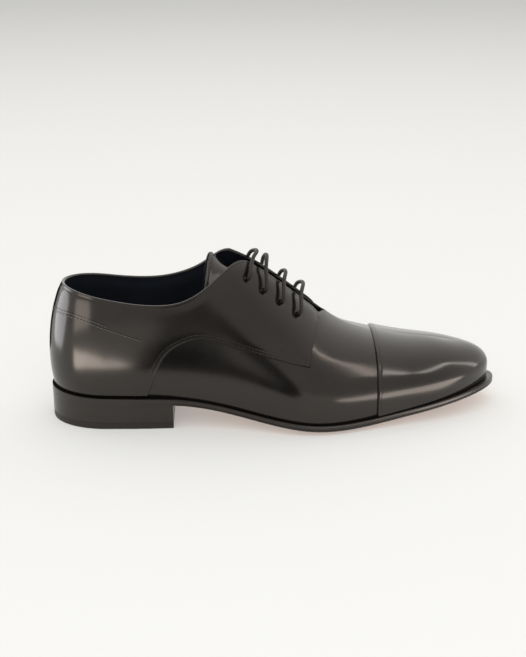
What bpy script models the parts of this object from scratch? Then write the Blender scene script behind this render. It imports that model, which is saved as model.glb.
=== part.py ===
"""A right-foot cap-toe derby shoe: sole, heel, insole, hollow upper, overlays, tongue and lace on one last.

The tables are in millimetres, measured from the back of the heel on the floor: x to the toe, y to the
inner (medial) side, z up. Meshes are written in metres.
"""

import math
from collections import namedtuple

import bmesh
import bpy
import numpy as np
from mathutils import Vector

MM = 0.001

# Driving sizes
LENGTH = 304.8
HEEL_BREAST = 82.4
HEEL_ROUND = 38.0
TOE_ROUND = 61.8
TOE_SLOPE_FROM = 240.0
TOP_PIECE = 4.6
INSOLE = 2.2
WALL = 2.0
OVERLAY = 1.3
GAP = 0.35
SOLE_CROWN = 3.4
THROAT_BACK_HALF = 8.3
THROAT_FRONT_HALF = 7.4
THROAT_BACK = 105.0
THROAT_FRONT = 182.5
CAP_SEAM = 218.2
QUARTER_FRONT = 170.0
TONGUE_DEPTH = 5.6
TONGUE_THICK = 1.8
TONGUE_BACK = 110.5
TONGUE_FRONT = 189.0
TONGUE_SLANT = 2.4
TONGUE_BACK_HALF = 23.0
TONGUE_FRONT_HALF = 14.0
ARCH_RUN = 60.0
HEEL_STACK_INSET = 0.3
TOP_PIECE_INSET = 0.2
LACE = 2.4
EYELET = 4.0
LACE_LANE = 2.8

# One row for each section of the last and the sole. A rib rises from its foot at the edge of the sole
# to its top on the ridge of the last.
#   at: place of the rib's foot along the sole      top_at: place of its top along the ridge
#   lateral, medial: breadth of the sole from the x axis, before its ends are rounded
#   tread: height of the sole's lower edge          edge: thickness of that edge
#   ledge: how far the sole stands out past the foot of the upper
#   ridge, middle: height and y of the ridge        swell: how far the wall bulges past its foot
#   belly: height of the bulge above the foot       side, crown: fullness of the wall and of the top
Section = namedtuple(
    "Section", "at top_at lateral medial tread edge ledge ridge middle swell belly side crown"
)
SECTIONS = (
    Section(0.0, 36, 32.0, 32.0, 17.6, 5.4, 3.2, 115.0, 0.0, 2.4, 20, 0.55, 0.55),
    Section(38.0, 46, 32.5, 32.5, 16.6, 5.0, 3.6, 119.0, 0.0, 2.2, 22, 0.55, 0.60),
    Section(60.0, 63, 33.2, 33.0, 16.3, 5.0, 3.4, 121.5, 0.0, 1.9, 23, 0.55, 0.60),
    Section(86.0, 91, 33.0, 30.6, 15.9, 4.4, 2.6, 122.0, 0.0, 1.6, 22, 0.55, 0.58),
    Section(115.0, 124, 35.0, 27.6, 11.6, 4.0, 2.3, 114.5, 0.3, 1.9, 20, 0.55, 0.62),
    Section(145.0, 158, 43.0, 31.8, 5.9, 4.1, 2.3, 92.5, 1.0, 1.5, 17, 0.52, 0.54),
    Section(174.0, 187, 49.6, 41.2, 2.7, 4.3, 2.3, 68.3, 3.0, 1.1, 14, 0.52, 0.52),
    Section(205.0, 208, 44.0, 48.4, 2.6, 4.3, 2.5, 55.2, 5.5, 0.9, 12, 0.55, 0.58),
    Section(243.0, 236, 31.8, 47.8, 6.2, 4.3, 3.3, 49.0, 8.0, 0.7, 11, 0.55, 0.60),
    Section(275.0, 255, 24.7, 44.3, 10.4, 4.2, 4.4, 46.2, 9.4, 0.5, 10, 0.55, 0.58),
    Section(304.8, 267, 17.1, 42.1, 13.8, 4.1, 6.2, 44.0, 10.4, 0.3, 9, 0.55, 0.55),
)

# Top edge of the quarters, seen from the side.
Topline = namedtuple("Topline", "x lateral medial")
TOPLINE = (
    Topline(0, 94.5, 94.5),
    Topline(12, 93.8, 93.8),
    Topline(24, 91.6, 92.4),
    Topline(44, 87.6, 89.4),
    Topline(72, 84.4, 88.4),
    Topline(92, 87.2, 93.6),
    Topline(106, 95.3, 102.0),
    Topline(117, 103.8, 110.5),
    Topline(124, 107.9, 111.6),
    Topline(128, 108.4, 111.6),
    Topline(132, 107.6, 111.5),
)

# Lower edge of the quarters: height over the floor against the place of the rib's foot.
QuarterFoot = namedtuple("QuarterFoot", "at height")
QUARTER_FOOT = (
    QuarterFoot(63.5, 16),
    QuarterFoot(69.5, 32),
    QuarterFoot(76, 47),
    QuarterFoot(86.5, 57.5),
    QuarterFoot(99, 62),
    QuarterFoot(115, 59.5),
    QuarterFoot(140, 52.5),
    QuarterFoot(170, 45.0),
)

# Side of the sole: how far in from its outline, and how far down its thickness.
EdgeStep = namedtuple("EdgeStep", "inset share")
SOLE_SIDE = (
    EdgeStep(0.5, 0.0),
    EdgeStep(0.0, 0.15),
    EdgeStep(0.0, 0.55),
    EdgeStep(0.5, 0.66),
    EdgeStep(0.0, 0.78),
    EdgeStep(0.1, 0.93),
    EdgeStep(0.9, 1.0),
)

# How much deeper than its edges the middle of the tongue lies, against its place along the ridge.
TongueSag = namedtuple("TongueSag", "place depth")
TONGUE_SAG = (
    TongueSag(110.5, 1.2),
    TongueSag(115, 3.8),
    TongueSag(121, 6.4),
    TongueSag(132, 7.0),
    TongueSag(160, 3.5),
    TongueSag(189, 0.0),
)

# Lace bars, front to back: foot of the rib that the pair of eyelets lies on, their distance down the wall
# from the throat, and how far the bar's middle stands towards the toe and over its eyelets.
Bar = namedtuple("Bar", "at set_back lean height")
BARS = (
    Bar(157.0, 18.8, 6.2, 19.0),
    Bar(146.5, 18.0, 5.4, 19.0),
    Bar(136.5, 17.6, 3.7, 20.0),
    Bar(126.5, 15.7, 7.8, 17.5),
)

LATERAL, MEDIAL = -1.0, 1.0
SIDE_NAMES = {LATERAL: "lateral", MEDIAL: "medial"}

BLACK = (0.012, 0.011, 0.011)
TAN = (0.42, 0.25, 0.12)
NAVY = (0.012, 0.014, 0.022)

# How the surfaces are divided: ribs from heel to toe, steps up each rib, and places with a rib of their own.
RIBS = 38
RIB_STEPS = 9
FACING_TOP_RIBS = (108.0, 112.5, 117.0, 121.5)
QUARTER_FOOT_RIBS = (63.5, 65.5, 67.5, 70.0, 72.5, 76.0, 80.5)
CLOSEST_RIBS = 0.45 / RIBS
HEEL_RIBS = 20
TONGUE_RIBS, TONGUE_STEPS = 16, 5
PIN_SIDES = 10
TREAD_SHARES = (0.75, 0.45, 0.0)
LACE_POINT_EVERY = 2.4 * LACE

# Rises, from 0 at the foot of a rib to 1 at its top: the foot's own arc, and how far overlays stop short.
FOOT_SHARE = 0.22
FOOT_LEAN = math.radians(35)
OVERLAY_FOOT = 0.02
QUARTER_EDGE = 0.004

# A lace bar's slope from its eyelet to its middle: places along it, and how soon it has risen.
BAR_SHARES = (0.3, 0.65)
BAR_ROUNDNESS = 0.8


def spline(at, places, values):
    """Natural cubic spline through the rows, read at the places given and held past its ends."""
    places = np.asarray(places, float)
    values = np.asarray(values, float)
    step = np.diff(places)
    slope = np.diff(values) / step
    count = len(places)
    matrix = np.eye(count)
    right = np.zeros(count)
    for row in range(1, count - 1):
        matrix[row, row - 1 : row + 2] = step[row - 1], 2 * (step[row - 1] + step[row]), step[row]
        right[row] = 6 * (slope[row] - slope[row - 1])
    bend = np.linalg.solve(matrix, right)
    at = np.clip(np.asarray(at, float), places[0], places[-1])
    k = np.clip(np.searchsorted(places, at) - 1, 0, count - 2)
    left = at - places[k]
    ahead = places[k + 1] - at
    return (
        (bend[k] * ahead**3 + bend[k + 1] * left**3) / (6 * step[k])
        + (values[k] / step[k] - bend[k] * step[k] / 6) * ahead
        + (values[k + 1] / step[k] - bend[k + 1] * step[k] / 6) * left
    )


def column(name, at):
    """One column of the sections, read along the sole."""
    return spline(at, [row.at for row in SECTIONS], [getattr(row, name) for row in SECTIONS])


def along(turn):
    """Place along the sole of a rib, from 0 at the heel to 1 at the toe, closer together at the ends."""
    return LENGTH * (1 - np.cos(np.pi * np.asarray(turn, float))) / 2


def turn_at(place):
    """The rib whose foot is at this place along the sole."""
    return math.acos(1 - 2 * place / LENGTH) / math.pi


def sole_top(x):
    """Height of the sole's upper edge."""
    return column("tread", x) + column("edge", x)


def rounding(x):
    """Share of the breadth that is left where the heel and the toe are rounded."""
    heel = np.clip((HEEL_ROUND - x) / HEEL_ROUND, 0, 1)
    toe = np.clip((x - LENGTH + TOE_ROUND) / TOE_ROUND, 0, 1)
    return np.sqrt(np.clip(1 - heel**2 - toe**2, 0, 1))


def outline(turn, side):
    """Edge of the sole, seen from above. A turn past either end goes on along the other side."""
    x = along(turn)
    lateral, medial = column("lateral", x), column("medial", x)
    half = (lateral + medial) / 2 * rounding(x)
    side = np.where((turn < 0) | (turn > 1), -side, side)
    return np.stack([x, (medial - lateral) / 2 + side * half], axis=-1)


def inset_outline(turn, side, inset):
    """The outline moved in by a distance, square to itself."""
    nudge = 1e-4
    turn, side, inset = np.broadcast_arrays(np.asarray(turn, float), side, inset)
    run = outline(turn + nudge, side) - outline(turn - nudge, side)
    run = run / np.linalg.norm(run, axis=-1, keepdims=True)
    outward = np.stack([-side * run[..., 1], side * run[..., 0]], axis=-1)
    return outline(turn, side) - outward * inset[..., None]


def ridge_slope(at):
    """Slope of the ridge at a rib's top, brought in over the toe alone."""
    step = 1.0
    fall = column("ridge", at + step) - column("ridge", at - step)
    run = column("top_at", at + step) - column("top_at", at - step)
    share = np.clip((at - TOE_SLOPE_FROM) / (LENGTH - TOE_SLOPE_FROM), 0, 1)
    return fall / run * share**2 * (3 - 2 * share)


def last(turn, rise, side):
    """Point of the last: turn goes from heel to toe, rise from the foot of the wall to the ridge and on."""
    turn, rise = np.broadcast_arrays(np.asarray(turn, float), np.asarray(rise, float))
    side = np.where(rise > 1, -side, side)
    rise = np.where(rise > 1, 2 - rise, rise)
    at = along(turn)
    foot = inset_outline(turn, side, column("ledge", at))
    top = np.stack([column("top_at", at), column("middle", at)], axis=-1)
    reach = np.linalg.norm(foot - top, axis=-1)
    wide = 1 + column("swell", at) / reach
    low = sole_top(foot[..., 0]) + GAP
    belly = low + column("belly", at)
    ridge = column("ridge", at)
    lean = FOOT_LEAN + (math.pi / 2 - FOOT_LEAN) * np.clip(rise / FOOT_SHARE, 0, 1)
    foot_out = 1 + (wide - 1) * (np.sin(lean) - math.sin(FOOT_LEAN)) / (1 - math.sin(FOOT_LEAN))
    foot_up = low + (belly - low) * (1 - np.cos(lean) / math.cos(FOOT_LEAN))
    s = np.clip((rise - FOOT_SHARE) / (1 - FOOT_SHARE), 0, 1)
    b0, b1, b2, b3 = (1 - s) ** 3, 3 * s * (1 - s) ** 2, 3 * s**2 * (1 - s), s**3
    wall_out = wide * (b0 + b1 + b2 * column("crown", at))
    wall_up = belly + (ridge - belly) * (b1 * column("side", at) + b2 + b3)
    wall_up += ridge_slope(at) * (foot - top)[..., 0] * wall_out * b3
    is_foot = rise < FOOT_SHARE
    out = np.where(is_foot, foot_out, wall_out)
    up = np.where(is_foot, foot_up, wall_up)
    plan = top + (foot - top) * out[..., None]
    return np.concatenate([plan, up[..., None]], axis=-1)


def last_normal(turn, rise, side):
    """Outward direction of the last's surface."""
    nudge = 1.5e-3
    turn, rise = np.broadcast_arrays(np.asarray(turn, float), np.asarray(rise, float))
    highest = np.where(turn > 1 - nudge, 1 - 4 * nudge, 1.0)
    rise = np.clip(rise, nudge, highest)
    forward = last(turn + nudge, rise, side) - last(turn - nudge, rise, side)
    upward = last(turn, rise + nudge, side) - last(turn, rise - nudge, side)
    normal = np.cross(forward, upward) * -side
    return normal / np.linalg.norm(normal, axis=-1, keepdims=True)


def skin(turn, rise, side, offset):
    """Point at a distance outside the last, or inside it where the distance is negative."""
    turn, rise = np.broadcast_arrays(np.asarray(turn, float), np.asarray(rise, float))
    return last(turn, rise, side) + last_normal(turn, rise, side) * offset


def first_rise(test):
    """Lowest rise at which a test turns true, found in ever finer steps; 1 where it never does."""
    low, high = 0.0, 1.0
    for _ in range(3):
        rises = np.linspace(low, high, 60)
        hits = np.flatnonzero(test(rises))
        if not len(hits):
            return high
        low, high = rises[max(hits[0] - 1, 0)], rises[hits[0]]
    return float(high)


def top_rise(turn, side):
    """Rise at which a rib meets the topline or the throat. Both sides share the back seam's rib."""
    name = SIDE_NAMES[side if turn > 0 else LATERAL]
    xs = [row.x for row in TOPLINE]
    zs = [getattr(row, name) for row in TOPLINE]
    middle = float(column("middle", along(turn)))

    def cut(rises):
        x, y, z = last(turn, rises, side).T
        over_topline = (x < xs[-1]) & (z > spline(x, xs, zs))
        half = np.interp(x, (THROAT_BACK + 20, THROAT_FRONT), (THROAT_BACK_HALF, THROAT_FRONT_HALF))
        in_throat = (x > THROAT_BACK) & (x < THROAT_FRONT) & (np.abs(y - middle) < half)
        return over_topline | in_throat

    return first_rise(cut)


def height_rise(turn, side, height):
    """Rise at which a rib reaches this height over the floor."""
    return first_rise(lambda rises: last(turn, rises, side)[:, 2] >= height)


def breadth_rise(turn, side, half):
    """Rise at which a rib comes within this breadth of the ridge, near its top."""
    rises = np.linspace(1, 0.3, 300)
    breadths = np.abs(last(turn, rises, side)[:, 1] - column("middle", along(turn)))
    return float(np.interp(half, breadths, rises))


def with_ribs(turns, fixed):
    """The ribs with some fixed ones among them, which take the place of any that lie too close."""
    kept = [turn for turn in turns if all(abs(turn - other) > CLOSEST_RIBS for other in fixed)]
    return sorted(kept + fixed)


def rib_turns():
    """The ribs, with some on the top of the facings, the front of the quarters and the toe-cap seam."""
    fixed = [turn_at(place) for place in (*FACING_TOP_RIBS, QUARTER_FRONT, CAP_SEAM)]
    even = np.linspace(0, 1, RIBS)
    return with_ribs(even, fixed)


def material(name, colour, roughness):
    """Principled material of one colour."""
    made = bpy.data.materials.new(name)
    made.use_nodes = True
    shader = made.node_tree.nodes["Principled BSDF"]
    shader.inputs["Base Color"].default_value = (*colour, 1)
    shader.inputs["Roughness"].default_value = roughness
    return made


def add_object(name, mesh, finish, collection, parent):
    """Named object of one mesh and one material, shaded smooth except at its edges."""
    mesh.materials.append(finish)
    mesh.shade_smooth()
    mesh.set_sharp_from_angle(angle=math.radians(40))
    made = bpy.data.objects.new(name, mesh)
    made.parent = parent
    collection.objects.link(made)
    return made


def grid_faces(rows, columns, start, flip):
    """Quads between neighbouring rows of points."""
    faces = []
    for i in range(rows - 1):
        for j in range(columns - 1):
            a = start + i * columns + j
            quad = (a, a + columns, a + columns + 1, a + 1)
            faces.append(quad[::-1] if flip else quad)
    return faces


def mesh_of_grids(name, grids):
    """One mesh from grids of points in millimetres, joined where they meet. Each grid is (points, flip)."""
    points, faces = [], []
    for grid, flip in grids:
        faces += grid_faces(grid.shape[0], grid.shape[1], len(points), flip)
        points += [tuple(point) for point in grid.reshape(-1, 3) * MM]
    mesh = bpy.data.meshes.new(name)
    mesh.from_pydata(points, [], faces)
    work = bmesh.new()
    work.from_mesh(mesh)
    bmesh.ops.remove_doubles(work, verts=work.verts, dist=0.01 * MM)
    bmesh.ops.dissolve_degenerate(work, edges=work.edges, dist=0.001 * MM)
    work.to_mesh(mesh)
    work.free()
    return mesh


def solidify(made, thickness):
    """Gives an open surface a wall on its inner side."""
    wall = made.modifiers.new("wall", "SOLIDIFY")
    wall.thickness = thickness * MM
    wall.offset = -1


def wall_grid(turns, lows, highs, side, offset, steps=RIB_STEPS):
    """Points on a skin of the last, rib by rib between two edges."""
    share = np.linspace(0, 1, steps + 1)
    rises = np.array(lows)[:, None] + (np.array(highs) - np.array(lows))[:, None] * share
    return skin(np.array(turns)[:, None], rises, side, offset)


def upper_mesh(turns):
    """Outer face of the wall on both sides, from its foot to the topline and the throat."""
    grids = []
    for side in (LATERAL, MEDIAL):
        highs = [top_rise(turn, side) for turn in turns]
        grids.append((wall_grid(turns, np.zeros(len(turns)), highs, side, 0.0), side == MEDIAL))
    return mesh_of_grids("upper", grids)


def toe_cap_mesh(turns):
    """Outer layer over the toe, in front of its seam."""
    turns = [turn for turn in turns if turn >= turn_at(CAP_SEAM) - 1e-6]
    lows, highs = np.full(len(turns), OVERLAY_FOOT), np.ones(len(turns))
    grids = [
        (wall_grid(turns, lows, highs, side, GAP + OVERLAY), side == MEDIAL) for side in (LATERAL, MEDIAL)
    ]
    return mesh_of_grids("toe_cap", grids)


def turn_off_seam(side, distance):
    """The first rib that stands this far from the back seam, half way up."""
    turns = np.linspace(0, 0.2, 1600)
    breadths = np.abs(last(turns, 0.5, side)[:, 1])
    return float(turns[np.argmax(breadths > distance)])


def quarter_mesh(name, turns, side):
    """Outer layer of one side, from the back seam to the front of the facing."""
    ats = [row.at for row in QUARTER_FOOT]
    heights = [row.height for row in QUARTER_FOOT]
    back = turn_off_seam(side, GAP)
    front = turn_at(QUARTER_FRONT)
    turns = with_ribs(turns, [turn_at(place) for place in QUARTER_FOOT_RIBS])
    turns = [back] + [turn for turn in turns if back + CLOSEST_RIBS < turn <= front + 1e-6]
    lows = []
    for turn in turns:
        at = float(along(turn))
        height = float(spline(at, ats, heights)) if at > ats[0] else 0.0
        lows.append(max(height_rise(turn, side, height), OVERLAY_FOOT))
    highs = [top_rise(turn, side) - QUARTER_EDGE for turn in turns]
    return mesh_of_grids(name, [(wall_grid(turns, lows, highs, side, GAP + OVERLAY), side == MEDIAL)])


def tongue_mesh():
    """Sagging strip under the throat, from below the vamp to its free top edge, whose corners lie further back."""
    tops = [row.top_at for row in SECTIONS]
    ats = [row.at for row in SECTIONS]
    sag_places = [row.place for row in TONGUE_SAG]
    sags = [row.depth for row in TONGUE_SAG]
    ends = (TONGUE_BACK, TONGUE_FRONT)
    share = np.linspace(0, 1, TONGUE_STEPS + 1)
    grids = []
    for side in (LATERAL, MEDIAL):
        rows = []
        for place in np.linspace(*ends, TONGUE_RIBS):
            foot = float(spline(place, tops, ats))
            half = np.interp(place, ends, (TONGUE_BACK_HALF, TONGUE_FRONT_HALF))
            low = breadth_rise(turn_at(foot), side, half)
            turns = np.array([turn_at(foot - TONGUE_SLANT * (1 - part) ** 3) for part in share])
            depth = TONGUE_DEPTH + spline(place, sag_places, sags) * np.sin(np.pi / 2 * share)
            rows.append(skin(turns, low + (1 - low) * share, side, -depth[:, None]))
        grids.append((np.array(rows), side == MEDIAL))
    return mesh_of_grids("tongue", grids)


def closed_ring_mesh(name, turns, profile):
    """Closed solid swept round the outline. profile gives one rib's points from top to bottom middle."""
    grids = []
    for side in (LATERAL, MEDIAL):
        grid = np.array([profile(turn, side) for turn in turns])
        grids.append((grid, side == LATERAL))
    return mesh_of_grids(name, grids)


def middle_of(turn):
    """Point under the ridge that the rib of a flat piece ends on."""
    at = float(along(turn))
    return np.array([float(column("top_at", at)), float(column("middle", at))])


def tread_height(x, share):
    """Underside of the sole: lower towards the middle, and flat where it meets the floor."""
    low = float(column("tread", x))
    waist = np.clip((x - HEEL_BREAST) / ARCH_RUN, 0, 1)
    return max(low - SOLE_CROWN * waist * (1 - share**2), 0.0)


def outsole_profile(turn, side):
    """Rib of the sole: flat top, stepped edge and hollow underside."""
    centre = middle_of(turn)
    points = [(*centre, float(sole_top(centre[0])))]
    for step in SOLE_SIDE:
        plan = inset_outline(turn, side, step.inset)
        high, low = float(sole_top(plan[0])), float(column("tread", plan[0]))
        points.append((*plan, high + (low - high) * step.share))
    edge = inset_outline(turn, side, SOLE_SIDE[-1].inset)
    for share in TREAD_SHARES:
        plan = centre + (edge - centre) * share
        points.append((*plan, tread_height(plan[0], share)))
    return points


def insole_profile(turn, side):
    """Rib of the insole, clear of the wall of the upper."""
    centre = middle_of(turn)
    at = along(turn)
    edge = inset_outline(turn, side, column("ledge", at) + WALL + 3 * GAP)
    points = []
    for share, lift in ((0.0, INSOLE), (1.0, INSOLE), (1.0, 0.0), (0.0, 0.0)):
        plan = centre + (edge - centre) * share
        points.append((*plan, float(sole_top(plan[0])) + GAP + lift))
    return points


def heel_seat(x):
    """Height of the heel block's top, just under the sole."""
    return float(column("tread", x)) - GAP


def heel_mesh(name, top, bottom, inset):
    """Straight-sided heel piece under the sole, closed by a flat breast."""
    turns = np.linspace(0, turn_at(HEEL_BREAST), HEEL_RIBS)
    grids = []
    for side in (LATERAL, MEDIAL):
        rows = []
        for turn in turns:
            edge = inset_outline(turn, side, inset)
            middle = np.array([inset + (1 - inset / HEEL_BREAST) * float(along(turn)), 0.0])
            upper_edge = [(*middle, top(middle[0])), (*edge, top(edge[0]))]
            rows.append(upper_edge + [(*edge, bottom), (*middle, bottom)])
        grids.append((np.array(rows), side == LATERAL))
        last_row = rows[-1]
        front = np.array([[last_row[0], last_row[1]], [last_row[3], last_row[2]]])
        grids.append((front, side == LATERAL))
    return mesh_of_grids(name, grids)


def set_back_rise(turn, side, distance):
    """Rise of a rib at a distance down the wall from the edge of the throat."""
    rises = np.linspace(top_rise(turn, side), 0.25, 250)
    steps = np.linalg.norm(np.diff(last(turn, rises, side), axis=0), axis=1)
    return float(np.interp(distance, np.concatenate([[0.0], np.cumsum(steps)]), rises))


def place_on(bar, side, lane, offset):
    """Point beside an eyelet, a lane's breadth further down the wall and set out from the last."""
    turn = turn_at(bar.at)
    return skin(turn, set_back_rise(turn, side, bar.set_back + lane), side, offset)


def eyelet_cutter(name, bar, side, collection):
    """Pin along the wall's own normal, longer than wall and overlay together."""
    turn = turn_at(bar.at)
    rise = set_back_rise(turn, side, bar.set_back)
    work = bmesh.new()
    radius = EYELET / 2 * MM
    bmesh.ops.create_cone(
        work,
        cap_ends=True,
        segments=PIN_SIDES,
        radius1=radius,
        radius2=radius,
        depth=4 * (WALL + OVERLAY) * MM,
    )
    mesh = bpy.data.meshes.new(name)
    work.to_mesh(mesh)
    work.free()
    pin = bpy.data.objects.new(name, mesh)
    pin.location = Vector(last(turn, rise, side) * MM)
    pin.rotation_mode = "QUATERNION"
    pin.rotation_quaternion = Vector(last_normal(turn, rise, side)).to_track_quat("Z", "Y")
    pin.hide_render = True
    pin.display_type = "WIRE"
    collection.objects.link(pin)
    return pin


def drill(made, collection):
    """Cuts the eyelets of one collection of pins out of a wall."""
    cut = made.modifiers.new("eyelets", "BOOLEAN")
    cut.operation = "DIFFERENCE"
    cut.operand_type = "COLLECTION"
    cut.collection = collection
    cut.solver = "EXACT"


def bar_route(bar, first):
    """Route of one bar, from inside one eyelet, up and over the throat, to inside the other."""
    near = GAP + OVERLAY + LACE
    depths = (-(WALL + LACE), 0.0, near)
    ends = [[place_on(bar, side, 0.0, depth) for depth in depths] for side in (first, -first)]
    top = (ends[0][1] + ends[1][1]) / 2 + np.array([bar.lean, 0.0, bar.height])
    slopes = []
    for end in ends:
        slope = []
        for share in BAR_SHARES:
            point = end[2] + (top - end[2]) * share
            point[2] = end[2][2] + (top[2] - end[2][2]) * math.sin(math.pi / 2 * share) ** BAR_ROUNDNESS
            slope.append(point)
        slopes.append(slope)
    return ends[0] + slopes[0] + [top] + slopes[1][::-1] + ends[1][::-1]


def under_route(bars, side, lane):
    """Route under the facing past the eyelets of these bars."""
    depth = -(WALL + 2 * GAP + LACE / 2)
    return [place_on(bar, side, lane, depth) for bar in bars]


def between(first, second):
    """A place half way between two bars."""
    return Bar((first.at + second.at) / 2, (first.set_back + second.set_back) / 2, 0.0, 0.0)


def lace_route():
    """One cord in straight bars, which starts and ends inside the top eyelet of the outer side."""
    one, two, three, four = BARS
    route = bar_route(four, LATERAL)
    route += under_route([between(three, four), three, between(two, three)], MEDIAL, -LACE_LANE)
    route += bar_route(two, MEDIAL)
    route += under_route([between(one, two)], LATERAL, 0.0)
    route += bar_route(one, LATERAL)
    route += under_route([between(one, two), two, between(two, three)], MEDIAL, LACE_LANE)
    route += bar_route(three, MEDIAL)
    route += under_route([between(three, four), four], LATERAL, LACE_LANE)
    return np.array(route)


def lace_object(finish, collection, parent):
    """Round tube along a smooth curve through the route."""
    route = lace_route()
    gone = np.concatenate([[0], np.cumsum(np.linalg.norm(np.diff(route, axis=0), axis=1))])
    places = [0.0]
    for start, end in zip(gone, gone[1:]):
        steps = max(round((end - start) / LACE_POINT_EVERY), 1)
        places += list(np.linspace(start, end, steps + 1)[1:])
    points = np.stack([spline(places, gone, route[:, axis]) for axis in range(3)], axis=1) * MM
    curve = bpy.data.curves.new("lace", "CURVE")
    curve.dimensions = "3D"
    curve.bevel_depth = LACE / 2 * MM
    curve.bevel_resolution = 2
    curve.use_fill_caps = True
    run = curve.splines.new("POLY")
    run.points.add(len(points) - 1)
    for point, place in zip(run.points, points):
        point.co = (*place, 1)
    curve.materials.append(finish)
    made = bpy.data.objects.new("lace", curve)
    made.parent = parent
    collection.objects.link(made)
    return made


def stand_on_origin(root, parts):
    """Moves the shoe so that the origin is on the floor under the middle of the box of these meshes."""
    bpy.context.view_layer.update()
    graph = bpy.context.evaluated_depsgraph_get()
    corners = []
    for made in parts:
        box = made.evaluated_get(graph).bound_box
        corners += [made.matrix_world @ Vector(corner) for corner in box]
    low = Vector([min(corner[axis] for corner in corners) for axis in range(3)])
    high = Vector([max(corner[axis] for corner in corners) for axis in range(3)])
    root.location = (-(low.x + high.x) / 2, -(low.y + high.y) / 2, -low.z)


def main():
    """Clears the scene and builds the shoe."""
    for old in list(bpy.data.objects):
        bpy.data.objects.remove(old, do_unlink=True)
    shoe = bpy.data.collections.new("derby_shoe")
    cutters = bpy.data.collections.new("cutters")
    pins = {side: bpy.data.collections.new(name) for side, name in SIDE_NAMES.items()}
    bpy.context.scene.collection.children.link(shoe)
    bpy.context.scene.collection.children.link(cutters)
    root = bpy.data.objects.new("shoe_origin", None)
    shoe.objects.link(root)
    for side, collection in pins.items():
        cutters.children.link(collection)
        for number, bar in enumerate(BARS, 1):
            pin = eyelet_cutter(f"eyelet_pin_{SIDE_NAMES[side]}_{number}", bar, side, collection)
            pin.parent = root

    turns = rib_turns()
    parts = []

    def add(name, mesh, colour, roughness):
        finish = material(name, colour, roughness)
        parts.append(add_object(name, mesh, finish, shoe, root))
        return parts[-1]

    upper = add("upper", upper_mesh(turns), BLACK, 0.32)
    solidify(upper, WALL)
    drill(upper, cutters)
    solidify(add("toe_cap", toe_cap_mesh(turns), BLACK, 0.25), OVERLAY)
    for side, side_name in SIDE_NAMES.items():
        name = "quarter_" + side_name
        quarter = add(name, quarter_mesh(name, turns, side), BLACK, 0.3)
        solidify(quarter, OVERLAY)
        drill(quarter, pins[side])
    solidify(add("tongue", tongue_mesh(), BLACK, 0.4), TONGUE_THICK)
    add("outsole", closed_ring_mesh("outsole", turns, outsole_profile), TAN, 0.5)
    add("insole", closed_ring_mesh("insole", turns, insole_profile), NAVY, 0.6)
    stack = heel_mesh("heel_stack", heel_seat, TOP_PIECE + GAP, HEEL_STACK_INSET)
    add("heel_stack", stack, BLACK, 0.35)
    top_piece = heel_mesh("heel_top_piece", lambda x: TOP_PIECE, 0.0, TOP_PIECE_INSET)
    add("heel_top_piece", top_piece, BLACK, 0.7)
    lace_object(material("lace", BLACK, 0.5), shoe, root)
    stand_on_origin(root, parts)


main()
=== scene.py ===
"""Finish of a right-foot cap-toe derby shoe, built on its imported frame.

The fine leather shells, sole, heel, stitches and lace are worked out from one last. Its sizes are in
millimetres from the back of the heel on the floor: x to the toe, y to the medial side, z up.
"""

import logging
import math
from dataclasses import dataclass, field
from enum import Enum
from typing import Callable, NamedTuple, Sequence

import bmesh
import bpy
import numpy as np
from mathutils import Euler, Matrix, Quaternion, Vector
from mathutils.kdtree import KDTree


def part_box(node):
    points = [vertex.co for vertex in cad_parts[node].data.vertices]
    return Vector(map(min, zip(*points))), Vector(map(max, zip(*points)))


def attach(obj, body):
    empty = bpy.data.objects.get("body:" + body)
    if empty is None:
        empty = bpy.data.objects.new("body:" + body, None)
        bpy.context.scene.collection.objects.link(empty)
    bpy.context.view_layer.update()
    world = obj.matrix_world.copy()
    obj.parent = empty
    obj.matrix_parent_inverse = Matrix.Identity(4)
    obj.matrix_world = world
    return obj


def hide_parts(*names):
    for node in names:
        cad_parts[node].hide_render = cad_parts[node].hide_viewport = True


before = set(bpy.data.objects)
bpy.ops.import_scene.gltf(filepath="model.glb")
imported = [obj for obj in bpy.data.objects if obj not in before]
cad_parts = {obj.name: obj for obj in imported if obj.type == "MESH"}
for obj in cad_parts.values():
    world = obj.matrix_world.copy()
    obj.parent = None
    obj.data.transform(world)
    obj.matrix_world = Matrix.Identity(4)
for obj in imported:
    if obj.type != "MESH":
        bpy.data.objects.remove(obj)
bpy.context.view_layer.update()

log = logging.getLogger("derby_shoe")
Array = np.ndarray
Triple = tuple[float, float, float]
Socket = bpy.types.NodeSocket
Test = Callable[[Array], Array]

MM = 0.001
MERGE_MM = 0.012
SLIVER_MM = 0.002
LINE_STEP_MM = 0.25
STITCH_HALF_MM = 0.45
SHARP_DEG = 48.0
SHEET_ROUGH = 0.7
BODY = "root"
HEEL_BACK_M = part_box("outsole")[0].x


class Side(Enum):
    """The two sides of the shoe, as the sign of y."""

    LATERAL = -1.0
    MEDIAL = 1.0


class Section(NamedTuple):
    """One section of last and sole: where its rib stands, its breadths, heights and fullness."""

    at: float
    top_at: float
    lateral: float
    medial: float
    tread: float
    edge: float
    ledge: float
    ridge: float
    middle: float
    swell: float
    belly: float
    side: float
    crown: float


class Topline(NamedTuple):
    """Height of the quarters' top edge on each side."""

    x: float
    lateral: float
    medial: float


class QuarterFoot(NamedTuple):
    """Height of the quarters' lower edge at a rib's foot."""

    at: float
    height: float


class EdgeStep(NamedTuple):
    """Point on the side of the sole: distance in from its outline, and share of its thickness down."""

    inset: float
    share: float


class Bar(NamedTuple):
    """One bar of the lace: its rib, distance from the throat, lean to the toe and height."""

    at: float
    set_back: float
    lean: float
    height: float


class TongueSag(NamedTuple):
    """How much deeper than its edges the middle of the tongue lies, at a place along the ridge."""

    place: float
    depth: float


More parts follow.
